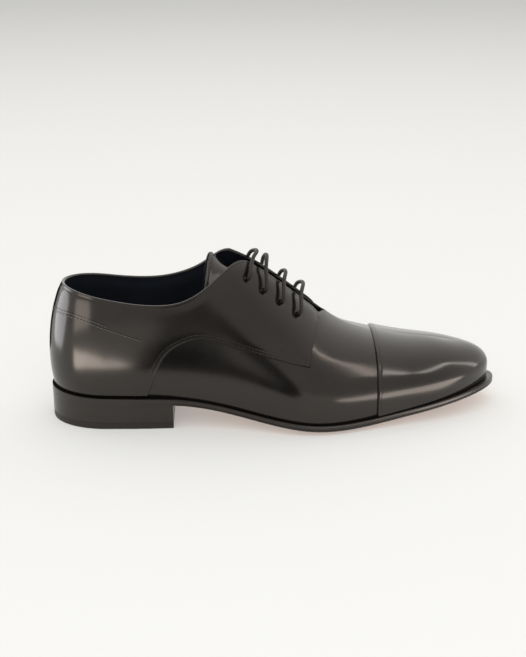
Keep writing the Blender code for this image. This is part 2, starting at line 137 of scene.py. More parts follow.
SECTIONS = (
    Section(0.0, 36, 32.0, 32.0, 17.6, 5.4, 3.2, 115.0, 0.0, 2.4, 20, 0.55, 0.55),
    Section(38.0, 46, 32.5, 32.5, 16.6, 5.0, 3.6, 119.0, 0.0, 2.2, 22, 0.55, 0.60),
    Section(60.0, 63, 33.2, 33.0, 16.3, 5.0, 3.4, 121.5, 0.0, 1.9, 23, 0.55, 0.60),
    Section(86.0, 91, 33.0, 30.6, 15.9, 4.4, 2.6, 122.0, 0.0, 1.6, 22, 0.55, 0.58),
    Section(115.0, 124, 35.0, 27.6, 11.6, 4.0, 2.3, 114.5, 0.3, 1.9, 20, 0.55, 0.62),
    Section(145.0, 158, 43.0, 31.8, 5.9, 4.1, 2.3, 92.5, 1.0, 1.5, 17, 0.52, 0.54),
    Section(174.0, 187, 49.6, 41.2, 2.7, 4.3, 2.3, 68.3, 3.0, 1.1, 14, 0.52, 0.52),
    Section(205.0, 208, 44.0, 48.4, 2.6, 4.3, 2.5, 57.0, 5.5, 0.9, 12, 0.55, 0.58),
    Section(243.0, 236, 31.8, 47.8, 6.2, 4.3, 3.3, 49.0, 8.0, 0.7, 11, 0.55, 0.60),
    Section(275.0, 255, 24.7, 44.3, 10.4, 4.2, 4.4, 46.2, 9.4, 0.5, 10, 0.55, 0.58),
    Section(304.8, 267, 17.1, 42.1, 13.8, 4.1, 6.2, 44.0, 10.4, 0.3, 9, 0.55, 0.55),
)
TOPLINE = (
    Topline(0, 94.5, 94.5),
    Topline(12, 93.8, 93.8),
    Topline(24, 91.6, 92.4),
    Topline(44, 87.6, 89.4),
    Topline(72, 84.4, 88.4),
    Topline(92, 87.2, 93.6),
    Topline(106, 95.3, 102.0),
    Topline(117, 103.8, 110.5),
    Topline(124, 107.9, 111.6),
    Topline(128, 108.4, 111.6),
    Topline(132, 107.6, 111.5),
)
QUARTER_FOOT = (
    QuarterFoot(63.5, 16),
    QuarterFoot(69.5, 32),
    QuarterFoot(76, 47),
    QuarterFoot(86.5, 57.5),
    QuarterFoot(99, 62),
    QuarterFoot(115, 59.5),
    QuarterFoot(140, 52.5),
    QuarterFoot(170, 45.0),
)
SOLE_SIDE = (
    EdgeStep(0.5, 0.0),
    EdgeStep(0.0, 0.15),
    EdgeStep(0.0, 0.55),
    EdgeStep(0.5, 0.66),
    EdgeStep(0.0, 0.78),
    EdgeStep(0.1, 0.93),
    EdgeStep(0.9, 1.0),
)
TONGUE_SAG = (
    TongueSag(110.5, 1.2),
    TongueSag(115, 3.8),
    TongueSag(121, 6.4),
    TongueSag(132, 7.0),
    TongueSag(160, 3.5),
    TongueSag(189, 0.0),
)
BARS = (
    Bar(157.0, 16.4, 6.2, 17.3),
    Bar(146.5, 15.6, 5.4, 17.3),
    Bar(136.5, 15.2, 3.7, 20.9),
    Bar(126.5, 13.3, 7.8, 15.8),
)


class Spline:
    """Natural cubic through a row of values, held past its ends."""

    def __init__(self, places: Sequence[float], values: Array) -> None:
        """Works out the bends.

        Args:
            places: Rising places of the values.
            values: One value, or one row of values, for each place.
        """
        self.places = np.asarray(places, float)
        self.values = np.asarray(values, float)
        self.step = np.diff(self.places)
        count = len(self.places)
        tail = (1,) * (self.values.ndim - 1)
        slope = np.diff(self.values, axis=0) / self.step.reshape(-1, *tail)
        matrix, right = np.eye(count), np.zeros_like(self.values)
        for row in range(1, count - 1):
            before, after = self.step[row - 1], self.step[row]
            matrix[row, row - 1 : row + 2] = before, 2 * (before + after), after
            right[row] = 6 * (slope[row] - slope[row - 1])
        self.bend = np.linalg.solve(matrix, right)

    def __call__(self, at: Array) -> Array:
        """Value at each place.

        Args:
            at: Places to read.

        Returns:
            Values of the same shape, with one more axis where rows were given.
        """
        at = np.clip(np.asarray(at, float), self.places[0], self.places[-1])
        k = np.clip(np.searchsorted(self.places, at) - 1, 0, len(self.step) - 1)
        step, left, ahead = self.step[k], at - self.places[k], self.places[k + 1] - at
        if self.values.ndim > 1:
            step, left, ahead = step[..., None], left[..., None], ahead[..., None]
        return (
            (self.bend[k] * ahead**3 + self.bend[k + 1] * left**3) / (6 * step)
            + (self.values[k] / step - self.bend[k] * step / 6) * ahead
            + (self.values[k + 1] / step - self.bend[k + 1] * step / 6) * left
        )


@dataclass
class Last:
    """The last that every piece follows, as a function of turn, rise and side."""

    length: float = 304.8
    heel_round: float = 38.0
    toe_round: float = 61.8
    toe_slope_from: float = 240.0
    gap: float = 0.35
    throat_back: float = 105.0
    throat_front: float = 182.5
    throat_back_half: float = 8.3
    throat_front_half: float = 7.4
    throat_taper: float = 20.0
    medial_lift: float = 1.6
    lift_run: tuple[float, float, float, float] = (108.0, 134.0, 158.0, 194.0)
    lift_crest: tuple[float, float, float, float] = (0.5, 0.8, 0.9, 1.0)
    foot_share: float = 0.22
    foot_lean: float = math.radians(35)
    search_rounds: int = 3
    search_steps: int = 60
    walk_steps: int = 240
    row_steps: int = 160
    crown_rises: tuple[float, float] = (1.0, 0.3)
    crown_steps: int = 300
    lowest_rise: float = 0.02
    columns: dict[str, Spline] = field(init=False)
    toplines: dict[Side, Spline] = field(init=False)

    def __post_init__(self) -> None:
        """Lays a spline through each column of the tables."""
        ats = [row.at for row in SECTIONS]
        self.columns = {
            name: Spline(ats, [getattr(row, name) for row in SECTIONS]) for name in Section._fields[1:]
        }
        xs = [row.x for row in TOPLINE]
        self.toplines = {
            side: Spline(xs, [getattr(row, side.name.lower()) for row in TOPLINE]) for side in Side
        }

    def along(self, turn: Array) -> Array:
        """Place of a rib's foot along the sole, for turns from 0 at the heel to 1 at the toe."""
        return self.length * (1 - np.cos(np.pi * np.asarray(turn, float))) / 2

    def turn_at(self, place: float) -> float:
        """The rib whose foot is at this place along the sole."""
        return math.acos(1 - 2 * place / self.length) / math.pi

    def sole_top(self, x: Array) -> Array:
        """Height of the sole's upper edge."""
        return self.columns["tread"](x) + self.columns["edge"](x)

    def outline(self, turn: Array, sign: Array) -> Array:
        """Edge of the sole from above; a turn past either end goes on along the other side."""
        x = self.along(turn)
        lateral, medial = self.columns["lateral"](x), self.columns["medial"](x)
        heel = np.clip((self.heel_round - x) / self.heel_round, 0, 1)
        toe = np.clip((x - self.length + self.toe_round) / self.toe_round, 0, 1)
        half = (lateral + medial) / 2 * np.sqrt(np.clip(1 - heel**2 - toe**2, 0, 1))
        sign = np.where((turn < 0) | (turn > 1), -sign, sign)
        return np.stack([x, (medial - lateral) / 2 + sign * half], axis=-1)

    def inset_outline(self, turn: Array, sign: Array, inset: Array) -> Array:
        """The outline moved in by a distance, square to itself."""
        nudge = 1e-4
        turn, sign, inset = np.broadcast_arrays(np.asarray(turn, float), sign, inset)
        run = self.outline(turn + nudge, sign) - self.outline(turn - nudge, sign)
        run = run / np.linalg.norm(run, axis=-1, keepdims=True)
        outward = np.stack([-sign * run[..., 1], sign * run[..., 0]], axis=-1)
        return self.outline(turn, sign) - outward * inset[..., None]

    def ridge_slope(self, at: Array) -> Array:
        """Slope of the ridge at a rib's top, brought in over the toe alone."""
        ridge, top = self.columns["ridge"], self.columns["top_at"]
        slope = (ridge(at + 1) - ridge(at - 1)) / (top(at + 1) - top(at - 1))
        return slope * eased((at - self.toe_slope_from) / (self.length - self.toe_slope_from))

    def point(self, turn: Array, rise: Array, side: Side) -> Array:
        """Points of the last.

        Args:
            turn: Ribs, from heel to toe.
            rise: Places up the ribs, from the foot of the wall to the ridge and on.
            side: Side that the ribs start on.

        Returns:
            Points in millimetres, in the last axis.
        """
        turn, rise = np.broadcast_arrays(np.asarray(turn, float), np.asarray(rise, float))
        sign = np.where(rise > 1, -side.value, side.value)
        rise = np.where(rise > 1, 2 - rise, rise)
        at = self.along(turn)
        column = {name: spline(at) for name, spline in self.columns.items()}
        foot = self.inset_outline(turn, sign, column["ledge"])
        top = np.stack([column["top_at"], column["middle"]], axis=-1)
        wide = 1 + column["swell"] / np.linalg.norm(foot - top, axis=-1)
        low = self.sole_top(foot[..., 0]) + self.gap
        belly = low + column["belly"]
        start = self.foot_lean
        lean = start + (math.pi / 2 - start) * np.clip(rise / self.foot_share, 0, 1)
        foot_out = 1 + (wide - 1) * (np.sin(lean) - math.sin(start)) / (1 - math.sin(start))
        foot_up = low + column["belly"] * (1 - np.cos(lean) / math.cos(start))
        s = np.clip((rise - self.foot_share) / (1 - self.foot_share), 0, 1)
        b0, b1, b2, b3 = (1 - s) ** 3, 3 * s * (1 - s) ** 2, 3 * s**2 * (1 - s), s**3
        wall_out = wide * (b0 + b1 + b2 * column["crown"])
        wall_up = belly + (column["ridge"] - belly) * (b1 * column["side"] + b2 + b3)
        wall_up += self.ridge_slope(at) * (foot - top)[..., 0] * wall_out * b3
        lift = np.where(sign > 0, self.medial_lift, 0.0)
        wall_up += lift * span(at, self.lift_run) * span(rise, self.lift_crest)
        is_foot = rise < self.foot_share
        out, up = np.where(is_foot, foot_out, wall_out), np.where(is_foot, foot_up, wall_up)
        plan = top + (foot - top) * out[..., None]
        return over(plan, up[..., None])

    def normal(self, turn: Array, rise: Array, side: Side) -> Array:
        """Outward directions of the last's surface."""
        nudge = 1.5e-3
        turn, rise = np.broadcast_arrays(np.asarray(turn, float), np.asarray(rise, float))
        rise = np.clip(rise, nudge, np.where(turn > 1 - nudge, 1 - 4 * nudge, 1.0))
        forward = self.point(turn + nudge, rise, side) - self.point(turn - nudge, rise, side)
        upward = self.point(turn, rise + nudge, side) - self.point(turn, rise - nudge, side)
        normal = np.cross(forward, upward) * -side.value
        return normal / np.linalg.norm(normal, axis=-1, keepdims=True)

    def skin(self, turn: Array, rise: Array, side: Side, offset: Array) -> Array:
        """Points at a distance outside the last, or inside it where the distance is negative."""
        offset = np.asarray(offset, float)[..., None]
        return self.point(turn, rise, side) + self.normal(turn, rise, side) * offset

    def first_rise(self, turns: Array, side: Side, test: Test) -> Array:
        """Lowest rise of each rib at which a test of its points turns true, or 1."""
        low, high = np.zeros(len(turns)), np.ones(len(turns))
        rows = np.arange(len(turns))
        for _ in range(self.search_rounds):
            rises = low[:, None] + (high - low)[:, None] * np.linspace(0, 1, self.search_steps)
            hit = test(self.point(turns[:, None], rises, side))
            first, none = np.argmax(hit, axis=1), ~hit.any(axis=1)
            low = np.where(none, high, rises[rows, np.maximum(first - 1, 0)])
            high = np.where(none, high, rises[rows, first])
        return high

    def top_rise(self, turns: Array, side: Side) -> Array:
        """Rise at which each rib meets the topline or the throat."""
        middle = self.columns["middle"](self.along(turns))[:, None]
        taper = (self.throat_back + self.throat_taper, self.throat_front)
        end = TOPLINE[-1].x

        def cut(points: Array) -> Array:
            """True where a point is over the topline or in the throat."""
            x, y, z = np.moveaxis(points, -1, 0)
            shared = np.where(turns[:, None] > 0, self.toplines[side](x), self.toplines[Side.LATERAL](x))
            half = np.interp(x, taper, (self.throat_back_half, self.throat_front_half))
            in_throat = (x > self.throat_back) & (x < self.throat_front) & (np.abs(y - middle) < half)
            return ((x < end) & (z > shared)) | in_throat

        return self.first_rise(turns, side, cut)

    def height_rise(self, turns: Array, side: Side, heights: Array) -> Array:
        """Rise at which each rib reaches its height over the floor."""
        heights = np.broadcast_to(heights, turns.shape)[:, None]
        return self.first_rise(turns, side, lambda points: points[..., 2] >= heights)

    def breadth_rise(self, turns: Array, side: Side, halves: Array) -> Array:
        """Rise, near its top, at which each rib comes within a breadth of the ridge."""
        rises = np.linspace(*self.crown_rises, self.crown_steps)
        middles = self.columns["middle"](self.along(turns))
        points = self.point(turns[:, None], rises[None, :], side)
        breadths = np.abs(points[..., 1] - middles[:, None])
        return np.array([np.interp(half, row, rises) for half, row in zip(halves, breadths)])

    def travel(self, turns: Array, starts: Array, side: Side, distances: Array) -> Array:
        """Rise reached from a start by going a distance up the wall, or down where it is negative."""
        distances = np.broadcast_to(np.asarray(distances, float), turns.shape)
        ends = np.where(distances > 0, 1.0, self.lowest_rise)
        rises, gone = self.walk(turns, starts, ends, side, self.walk_steps)
        return np.array([np.interp(abs(d), g, r) for d, g, r in zip(distances, gone, rises)])

    def walk(self, turns: Array, starts: Array, ends: Array, side: Side, steps: int) -> tuple[Array, Array]:
        """Even rises from a start to an end on each rib, and the way gone along the wall at each."""
        rises = starts[:, None] + (ends - starts)[:, None] * np.linspace(0, 1, steps)
        lengths = np.linalg.norm(np.diff(self.point(turns[:, None], rises, side), axis=1), axis=2)
        return rises, np.concatenate([np.zeros((len(turns), 1)), np.cumsum(lengths, axis=1)], axis=1)

    def slant(self, turns: Array, rises: Array, side: Side) -> Array:
        """How much longer the way along a rib is than the way square to an edge that crosses it."""
        nudge, least_sine = 0.01, 0.3
        line = np.gradient(self.point(turns, rises, side), axis=0)
        rib = self.point(turns, rises, side) - self.point(turns, rises - nudge, side)
        line /= np.linalg.norm(line, axis=1, keepdims=True)
        rib /= np.linalg.norm(rib, axis=1, keepdims=True)
        return 1 / np.maximum(np.linalg.norm(np.cross(line, rib), axis=1), least_sine)

    def rows(self, turns: Array, lows: Array, highs: Array, side: Side, close: Array, even: int) -> Array:
        """Rises of the rows of a grid, close together near both edges and even between.

        Args:
            turns: Ribs of the grid.
            lows: Rise of the lower edge at each rib.
            highs: Rise of the upper edge at each rib.
            side: Side that the ribs lie on.
            close: Distances of the close rows from an edge, from 0 up.
            even: Number of even rows between.

        Returns:
            One row of rises for each rib.
        """
        rises, gone = self.walk(turns, lows, highs, side, self.row_steps)
        found = []
        for travel, rise in zip(gone, rises):
            edge = close * min(1.0, travel[-1] / (3 * close[-1]))
            middle = np.linspace(edge[-1], travel[-1] - edge[-1], even + 2)[1:-1]
            places = np.concatenate([edge, middle, travel[-1] - edge[::-1]])
            found.append(np.interp(places, travel, rise))
        return np.array(found)


class Grid(NamedTuple):
    """Rows of points in millimetres, and the material slot of the faces between them."""

    points: Array
    slot: int = 0


def to_frame(points: Array) -> Array:
    """Points of the last, in metres in the frame."""
    return points * MM + np.array([HEEL_BACK_M, 0.0, 0.0])


def rim(first: Array, second: Array, slot: int = 0) -> Grid:
    """The strip of faces between two rows of points."""
    return Grid(np.stack([first, second]), slot)


def mesh_of(name: str, grids: Sequence[Grid]) -> bpy.types.Mesh:
    """One closed mesh of grids that meet at their edges, with its faces turned out.

    Args:
        name: Name of the mesh.
        grids: Grids that together close a solid.

    Returns:
        The mesh, in metres in the frame.
    """
    points, faces, slots, start = [], [], [], 0
    for grid in grids:
        rows, columns = grid.points.shape[:2]
        index = start + np.arange(rows * columns).reshape(rows, columns)
        quads = np.stack([index[:-1, :-1], index[1:, :-1], index[1:, 1:], index[:-1, 1:]], axis=-1)
        faces.append(quads.reshape(-1, 4))
        slots.append(np.full(len(faces[-1]), grid.slot))
        points.append(grid.points.reshape(-1, 3))
        start += rows * columns
    mesh = bpy.data.meshes.new(name)
    mesh.from_pydata(to_frame(np.concatenate(points)).tolist(), [], np.concatenate(faces).tolist())
    mesh.polygons.foreach_set("material_index", np.concatenate(slots).astype(np.int32))
    work = bmesh.new()
    work.from_mesh(mesh)
    bmesh.ops.remove_doubles(work, verts=work.verts, dist=MERGE_MM * MM)
    bmesh.ops.dissolve_degenerate(work, edges=work.edges, dist=SLIVER_MM * MM)
    bmesh.ops.recalc_face_normals(work, faces=work.faces)
    work.to_mesh(mesh)
    work.free()
    return mesh


def tree_of(points: Array) -> KDTree:
    """Tree that finds the nearest of a list of points."""
    tree = KDTree(len(points))
    for index, point in enumerate(points):
        tree.insert(point, index)
    tree.balance()
    return tree


def gone_along(line: Array) -> Array:
    """Way gone along a line at each of its points."""
    return np.concatenate([[0], np.cumsum(np.linalg.norm(np.diff(line, axis=0), axis=1))])


def distance_to(points: Array, line: Array) -> Array:
    """Distance of each point of a grid from a line of points."""
    gone = gone_along(line)
    places = np.arange(0, gone[-1], LINE_STEP_MM)
    tree = tree_of(np.stack([np.interp(places, gone, line[:, axis]) for axis in range(3)], axis=1))
    found = [tree.find(point)[2] for point in points.reshape(-1, 3)]
    return np.array(found).reshape(points.shape[:-1])


def rounded(distance: Array, radius: float) -> Array:
    """Share of a layer's thickness at a distance in from its rounded edge."""
    return np.sqrt(1 - (1 - np.clip(distance / radius, 0, 1)) ** 2)


def eased(share: Array) -> Array:
    """A share held between 0 and 1, with soft ends."""
    share = np.clip(share, 0, 1)
    return share**2 * (3 - 2 * share)


def span(value: Array, run: Sequence[float]) -> Array:
    """A share that eases up over the first stretch of a run of four values and down over the last."""
    start, full, fall, end = run
    return eased((value - start) / (full - start)) * eased((end - value) / (end - fall))


def over(plan: Array, heights: Array) -> Array:
    """Points over a plan, at heights given in a last axis of one."""
    return np.concatenate([plan, heights], axis=-1)


def trough(distance: Array, place: float, half: float = STITCH_HALF_MM) -> Array:
    """A soft trough, 1 deep, at a distance from an edge."""
    return np.exp(-(((distance - place) / half) ** 2))


class Nodes:
    """Short calls that build a node tree."""

    MIX_FIRST = 6
    MIX_SECOND = 7
    MIX_RESULT = 2

    def __init__(self, tree: bpy.types.NodeTree) -> None:
        """Keeps the tree."""
        self.tree = tree

    def add(self, kind: str, values: dict[str, object] | None = None, **settings: object) -> bpy.types.Node:
        """Adds a node.

        Args:
            kind: Type of the node.
            values: Values of its inputs by name, where an output socket is linked instead.
            settings: Properties of the node.

        Returns:
            The node.
        """
        node = self.tree.nodes.new(kind)
        for name, value in settings.items():
            setattr(node, name, value)
        for name, value in (values or {}).items():
            if isinstance(value, Socket):
                self.tree.links.new(value, node.inputs[name])
            else:
                node.inputs[name].default_value = value
        return node

    def math(self, operation: str, first: object, second: object) -> Socket:
        """Adds an operation on two values and returns its result."""
        node = self.add("ShaderNodeMath", operation=operation)
        for socket, value in zip(node.inputs, (first, second)):
            if isinstance(value, Socket):
                self.tree.links.new(value, socket)
            else:
                socket.default_value = value
        return node.outputs[0]

    def weigh(self, first: object, second: object, share: float) -> Socket:
        """Adds two values, the first in this share and the second in the rest, and returns the sum."""
        parts = (self.math("MULTIPLY", first, share), self.math("MULTIPLY", second, 1 - share))
        return self.math("ADD", *parts)

    def remap(self, value: object, low: float, high: float, start: float = 0.0, end: float = 1.0) -> Socket:
        """Adds a map from one range to another and returns its result."""
        ranges = {"Value": value, "From Min": start, "From Max": end, "To Min": low, "To Max": high}
        return self.add("ShaderNodeMapRange", ranges).outputs[0]

    def mix(self, share: object, first: Sequence[float], second: Sequence[float]) -> Socket:
        """Adds a mix of two colours and returns its result."""
        node = self.add("ShaderNodeMix", data_type="RGBA")
        self.tree.links.new(share, node.inputs[0])
        node.inputs[self.MIX_FIRST].default_value = (*first, 1)
        node.inputs[self.MIX_SECOND].default_value = (*second, 1)
        return node.outputs[self.MIX_RESULT]


class SurfaceEffects:
    """Effects that several finishes share, as node groups."""

    WRINKLE_SCALE = 0.45
    PEBBLE_POWER = 1.6
    PORE_EDGE = 0.4
    POLISH_RANGE = (0.3, 0.7)
    RUB_RANGE = (0.55, 0.8)
    RUB_STRETCH = (1.0, 1.0, 0.25)

    def __init__(self) -> None:
        """Builds the groups."""
        self.grain = self.build_grain()
        self.handling = self.build_handling()

    @staticmethod
    def start(name: str, inputs: Sequence[tuple[str, float]], outputs: Sequence[str]) -> bpy.types.NodeTree:
        """New shader group with float inputs and outputs."""
        tree = bpy.data.node_groups.new(name, "ShaderNodeTree")
        for label, value in inputs:
            socket = tree.interface.new_socket(label, in_out="INPUT", socket_type="NodeSocketFloat")
            socket.default_value = value
        for label in outputs:
            tree.interface.new_socket(label, in_out="OUTPUT", socket_type="NodeSocketFloat")
        return tree

    def build_grain(self) -> bpy.types.NodeTree:
        """Pores and fine wrinkles of a hide."""
        tree = self.start("hide_grain", [("Cells", 1400.0), ("Wrinkle", 0.5)], ["Height", "Pores"])
        nodes = Nodes(tree)
        source, sink = nodes.add("NodeGroupInput"), nodes.add("NodeGroupOutput")
        place = nodes.add("ShaderNodeTexCoord").outputs["Object"]
        cells = source.outputs["Cells"]
        pores = nodes.add("ShaderNodeTexVoronoi", {"Vector": place, "Scale": cells, "Randomness": 1.0})
        coarse = nodes.math("MULTIPLY", cells, self.WRINKLE_SCALE)
        fold = {"Vector": place, "Scale": coarse, "Detail": 3.0}
        wrinkles = nodes.add("ShaderNodeTexNoise", fold)
        pebble = nodes.math("POWER", pores.outputs["Distance"], self.PEBBLE_POWER)
        height = nodes.math("MULTIPLY", wrinkles.outputs[0], source.outputs["Wrinkle"])
        tree.links.new(nodes.math("ADD", pebble, height), sink.inputs["Height"])
        shade = nodes.remap(pores.outputs["Distance"], 1.0, 0.0, 0.0, self.PORE_EDGE)
        tree.links.new(shade, sink.inputs["Pores"])
        return tree

    def build_handling(self) -> bpy.types.NodeTree:
        """Broad uneven polish and faint rub marks."""
        tree = self.start("handling", [("Patches", 38.0), ("Marks", 260.0)], ["Polish", "Rub"])
        nodes = Nodes(tree)
        source, sink = nodes.add("NodeGroupInput"), nodes.add("NodeGroupOutput")
        place = nodes.add("ShaderNodeTexCoord").outputs["Object"]
        broad = {"Vector": place, "Scale": source.outputs["Patches"], "Detail": 4.0, "Roughness": 0.6}
        polish = nodes.add("ShaderNodeTexNoise", broad)
        streak = nodes.add("ShaderNodeMapping", {"Vector": place, "Scale": self.RUB_STRETCH})
        fine = {"Vector": streak.outputs[0], "Scale": source.outputs["Marks"], "Detail": 5.0}
        marks = nodes.add("ShaderNodeTexNoise", fine)
        for name, noise, limits in (("Polish", polish, self.POLISH_RANGE), ("Rub", marks, self.RUB_RANGE)):
            tree.links.new(nodes.remap(noise.outputs[0], 0.0, 1.0, *limits), sink.inputs[name])
        return tree


@dataclass(frozen=True)
class Finish:
    """A procedural finish: two tones, a range of roughness, grain and coat."""

    name: str
    dark: Triple
    light: Triple
    smooth: float
    rough: float
    cells: float
    wrinkle: float
    relief: float
    depth_mm: float = 0.06
    coat: float = 0.0
    coat_rough: float = 0.1
    specular: float = 0.5
    tint: Triple = (1.0, 0.90, 0.82)
    patches: float = 38.0
    polish_in_tone: float = 0.7
    polish_in_rough: float = 0.65

    def build(self, effects: SurfaceEffects) -> bpy.types.Material:
        """Builds the material.

        Args:
            effects: The shared node groups.

        Returns:
            The finished material.
        """
        made = bpy.data.materials.new(self.name)
        made.use_nodes = True
        nodes = Nodes(made.node_tree)
        shader = made.node_tree.nodes["Principled BSDF"]
        grain = nodes.add("ShaderNodeGroup", node_tree=effects.grain)
        grain.inputs["Cells"].default_value = self.cells
        grain.inputs["Wrinkle"].default_value = self.wrinkle
        handling = nodes.add("ShaderNodeGroup", node_tree=effects.handling)
        handling.inputs["Patches"].default_value = self.patches
        polish = handling.outputs["Polish"]
        tone = nodes.weigh(polish, grain.outputs["Pores"], self.polish_in_tone)
        uneven = nodes.weigh(polish, handling.outputs["Rub"], self.polish_in_rough)
        bump = {"Height": grain.outputs["Height"], "Strength": self.relief, "Distance": self.depth_mm * MM}
        links = made.node_tree.links
        links.new(nodes.mix(tone, self.dark, self.light), shader.inputs["Base Color"])
        links.new(nodes.remap(uneven, self.smooth, self.rough), shader.inputs["Roughness"])
        links.new(nodes.add("ShaderNodeBump", bump).outputs[0], shader.inputs["Normal"])
        shader.inputs["Specular IOR Level"].default_value = self.specular
        shader.inputs["Specular Tint"].default_value = (*self.tint, 1)
        shader.inputs["Coat Weight"].default_value = self.coat
        shader.inputs["Coat Roughness"].default_value = self.coat_rough
        return made


BLACK = ((0.0055, 0.0049, 0.0045), (0.010, 0.0088, 0.008))
NAVY = (0.85, 0.94, 1.0)
CALF = Finish(
    "black_calf", *BLACK, smooth=0.16, rough=0.23, cells=1900, wrinkle=0.5,
    relief=0.05, depth_mm=0.05, coat=0.2, coat_rough=0.15,
)
CAP_CALF = Finish(
    "polished_cap_calf", *BLACK, smooth=0.15, rough=0.21, cells=2100, wrinkle=0.4,
    relief=0.04, depth_mm=0.05, coat=0.25, coat_rough=0.13,
)
LINING = Finish(
    "dark_lining", (0.0045, 0.006, 0.010), (0.008, 0.010, 0.015), smooth=0.5, rough=0.65,
    cells=1500, wrinkle=0.8, relief=0.2, depth_mm=0.1, tint=NAVY,
)
SOCK = Finish(
    "insole_sock", (0.006, 0.007, 0.010), (0.011, 0.012, 0.016), smooth=0.42, rough=0.6,
    cells=1300, wrinkle=0.8, relief=0.2, depth_mm=0.1, tint=NAVY,
)
EDGE = Finish(
    "waxed_edge", (0.006, 0.0052, 0.0048), (0.014, 0.012, 0.011), smooth=0.24, rough=0.4,
    cells=1700, wrinkle=0.5, relief=0.05, depth_mm=0.05, coat=0.2, coat_rough=0.2,
)
# Matte black of the welt ledge and the cut edges, and also the colour of the lines that paint shade over
# the heel rows.
WELT_AND_SHADE = Finish(
    "welt_and_painted_shade", (0.004, 0.0036, 0.0034), (0.007, 0.006, 0.0055), smooth=0.7, rough=0.9,
    cells=900, wrinkle=1.0, relief=0.1, specular=0.1,
)
TREAD = Finish(
    "tan_sole_leather", (0.48, 0.20, 0.055), (0.62, 0.30, 0.10), smooth=0.42, rough=0.62,
    cells=700, wrinkle=1.2, relief=0.3, depth_mm=0.12,
)
RUBBER = Finish(
    "heel_rubber", (0.008, 0.0075, 0.007), (0.016, 0.015, 0.014), smooth=0.42, rough=0.6,
    cells=1200, wrinkle=1.0, relief=0.25, depth_mm=0.1,
)
CORD = Finish(
    "waxed_cord", (0.005, 0.0045, 0.004), (0.012, 0.011, 0.010), smooth=0.42, rough=0.6,
    cells=2600, wrinkle=1.0, relief=0.25, depth_mm=0.08, coat_rough=0.3,
)
THREAD = Finish(
    "tonal_thread", (0.010, 0.009, 0.008), (0.024, 0.021, 0.019), smooth=0.4, rough=0.6,
    cells=4000, wrinkle=1.0, relief=0.2, depth_mm=0.05,
)
# Thread of the heel rows, lighter than the other stitches: partly its own colour, partly a painted
# highlight along each row.
ROW_THREAD_AND_HIGHLIGHT = Finish(
    "row_thread_painted_highlight", (0.09, 0.08, 0.072), (0.14, 0.125, 0.112), smooth=0.3, rough=0.45,
    cells=4000, wrinkle=1.0, relief=0.2, depth_mm=0.05,
)


class Workbench:
    """Makes objects of meshes, dresses them and puts them on the frame."""

    def __init__(self) -> None:
        """Builds the last, the shared node groups and an empty collection; the materials are built when
        first asked for.
        """
        self.last = Last()
        self.effects = SurfaceEffects()
        self.made: dict[str, bpy.types.Material] = {}
        self.shoe = bpy.data.collections.new("derby_shoe_finish")
        bpy.context.scene.collection.children.link(self.shoe)

    def finish(self, finish: Finish) -> bpy.types.Material:
        """The material of a finish, built once."""
        if finish.name not in self.made:
            self.made[finish.name] = finish.build(self.effects)
        return self.made[finish.name]

    def place(self, name: str, mesh: bpy.types.Mesh, finishes: Sequence[Finish]) -> bpy.types.Object:
        """New object of a mesh, with its materials and smooth shading."""
        made = bpy.data.objects.new(name, mesh)
        self.shoe.objects.link(made)
        for finish in finishes:
            mesh.materials.append(self.finish(finish))
        mesh.shade_smooth()
        mesh.set_sharp_from_angle(angle=math.radians(SHARP_DEG))
        return made

    @staticmethod
    def seat(made: bpy.types.Object, slot: str, *nodes: str) -> None:
        """Puts a piece on the frame, in place of nodes where it stands for any."""
        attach(made, BODY)
        if nodes:
            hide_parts(*nodes)
        log.info("%s: %d faces", made.name, len(made.data.polygons))

    @staticmethod
    def settle(made: bpy.types.Object) -> None:
        """Turns what an object's modifiers make into its own plain mesh."""
        graph = bpy.context.evaluated_depsgraph_get()
        mesh = bpy.data.meshes.new_from_object(made.evaluated_get(graph))
        made.modifiers.clear()
        made.data = mesh


@dataclass
class Eyelets:
    """Punched holes of both facings, and the pins that cut them."""

    bench: Workbench
    diameter: float = 4.0
    pin_length: float = 16.0
    sides: int = 28

    def centre(self, bar: Bar, side: Side, lane: float = 0.0) -> tuple[Array, Array]:
        """Turn and rise of an eyelet, or of a place a lane further down the wall."""
        last = self.bench.last
        turns = np.array([last.turn_at(bar.at)])
        return turns, last.travel(turns, last.top_rise(turns, side), side, -(bar.set_back + lane))

    def pins(self) -> bpy.types.Object:
        """One object of all the pins."""
        work = bmesh.new()
        radius = self.diameter / 2 * MM
        for side in Side:
            for bar in BARS:
                turns, rises = self.centre(bar, side)
                middle = Vector(to_frame(self.bench.last.point(turns, rises, side))[0])
                axis = Vector(self.bench.last.normal(turns, rises, side)[0])
                turn = axis.to_track_quat("Z", "Y").to_matrix().to_4x4()
                turn.translation = middle
                bmesh.ops.create_cone(
                    work,
                    cap_ends=True,
                    segments=self.sides,
                    radius1=radius,
                    radius2=radius,
                    depth=self.pin_length * MM,
                    matrix=turn,
                )
        mesh = bpy.data.meshes.new("eyelet_pins")
        work.to_mesh(mesh)
        work.free()
        pins = bpy.data.objects.new("eyelet_pins", mesh)
        bpy.context.scene.collection.objects.link(pins)
        pins.hide_render = True
        return pins

    def punch(self, made: bpy.types.Object, pins: bpy.types.Object) -> None:
        """Cuts the holes out of a piece."""
        cut = made.modifiers.new("eyelets", "BOOLEAN")
        cut.operation = "DIFFERENCE"
        cut.object = pins
        cut.solver = "EXACT"
        self.bench.settle(made)


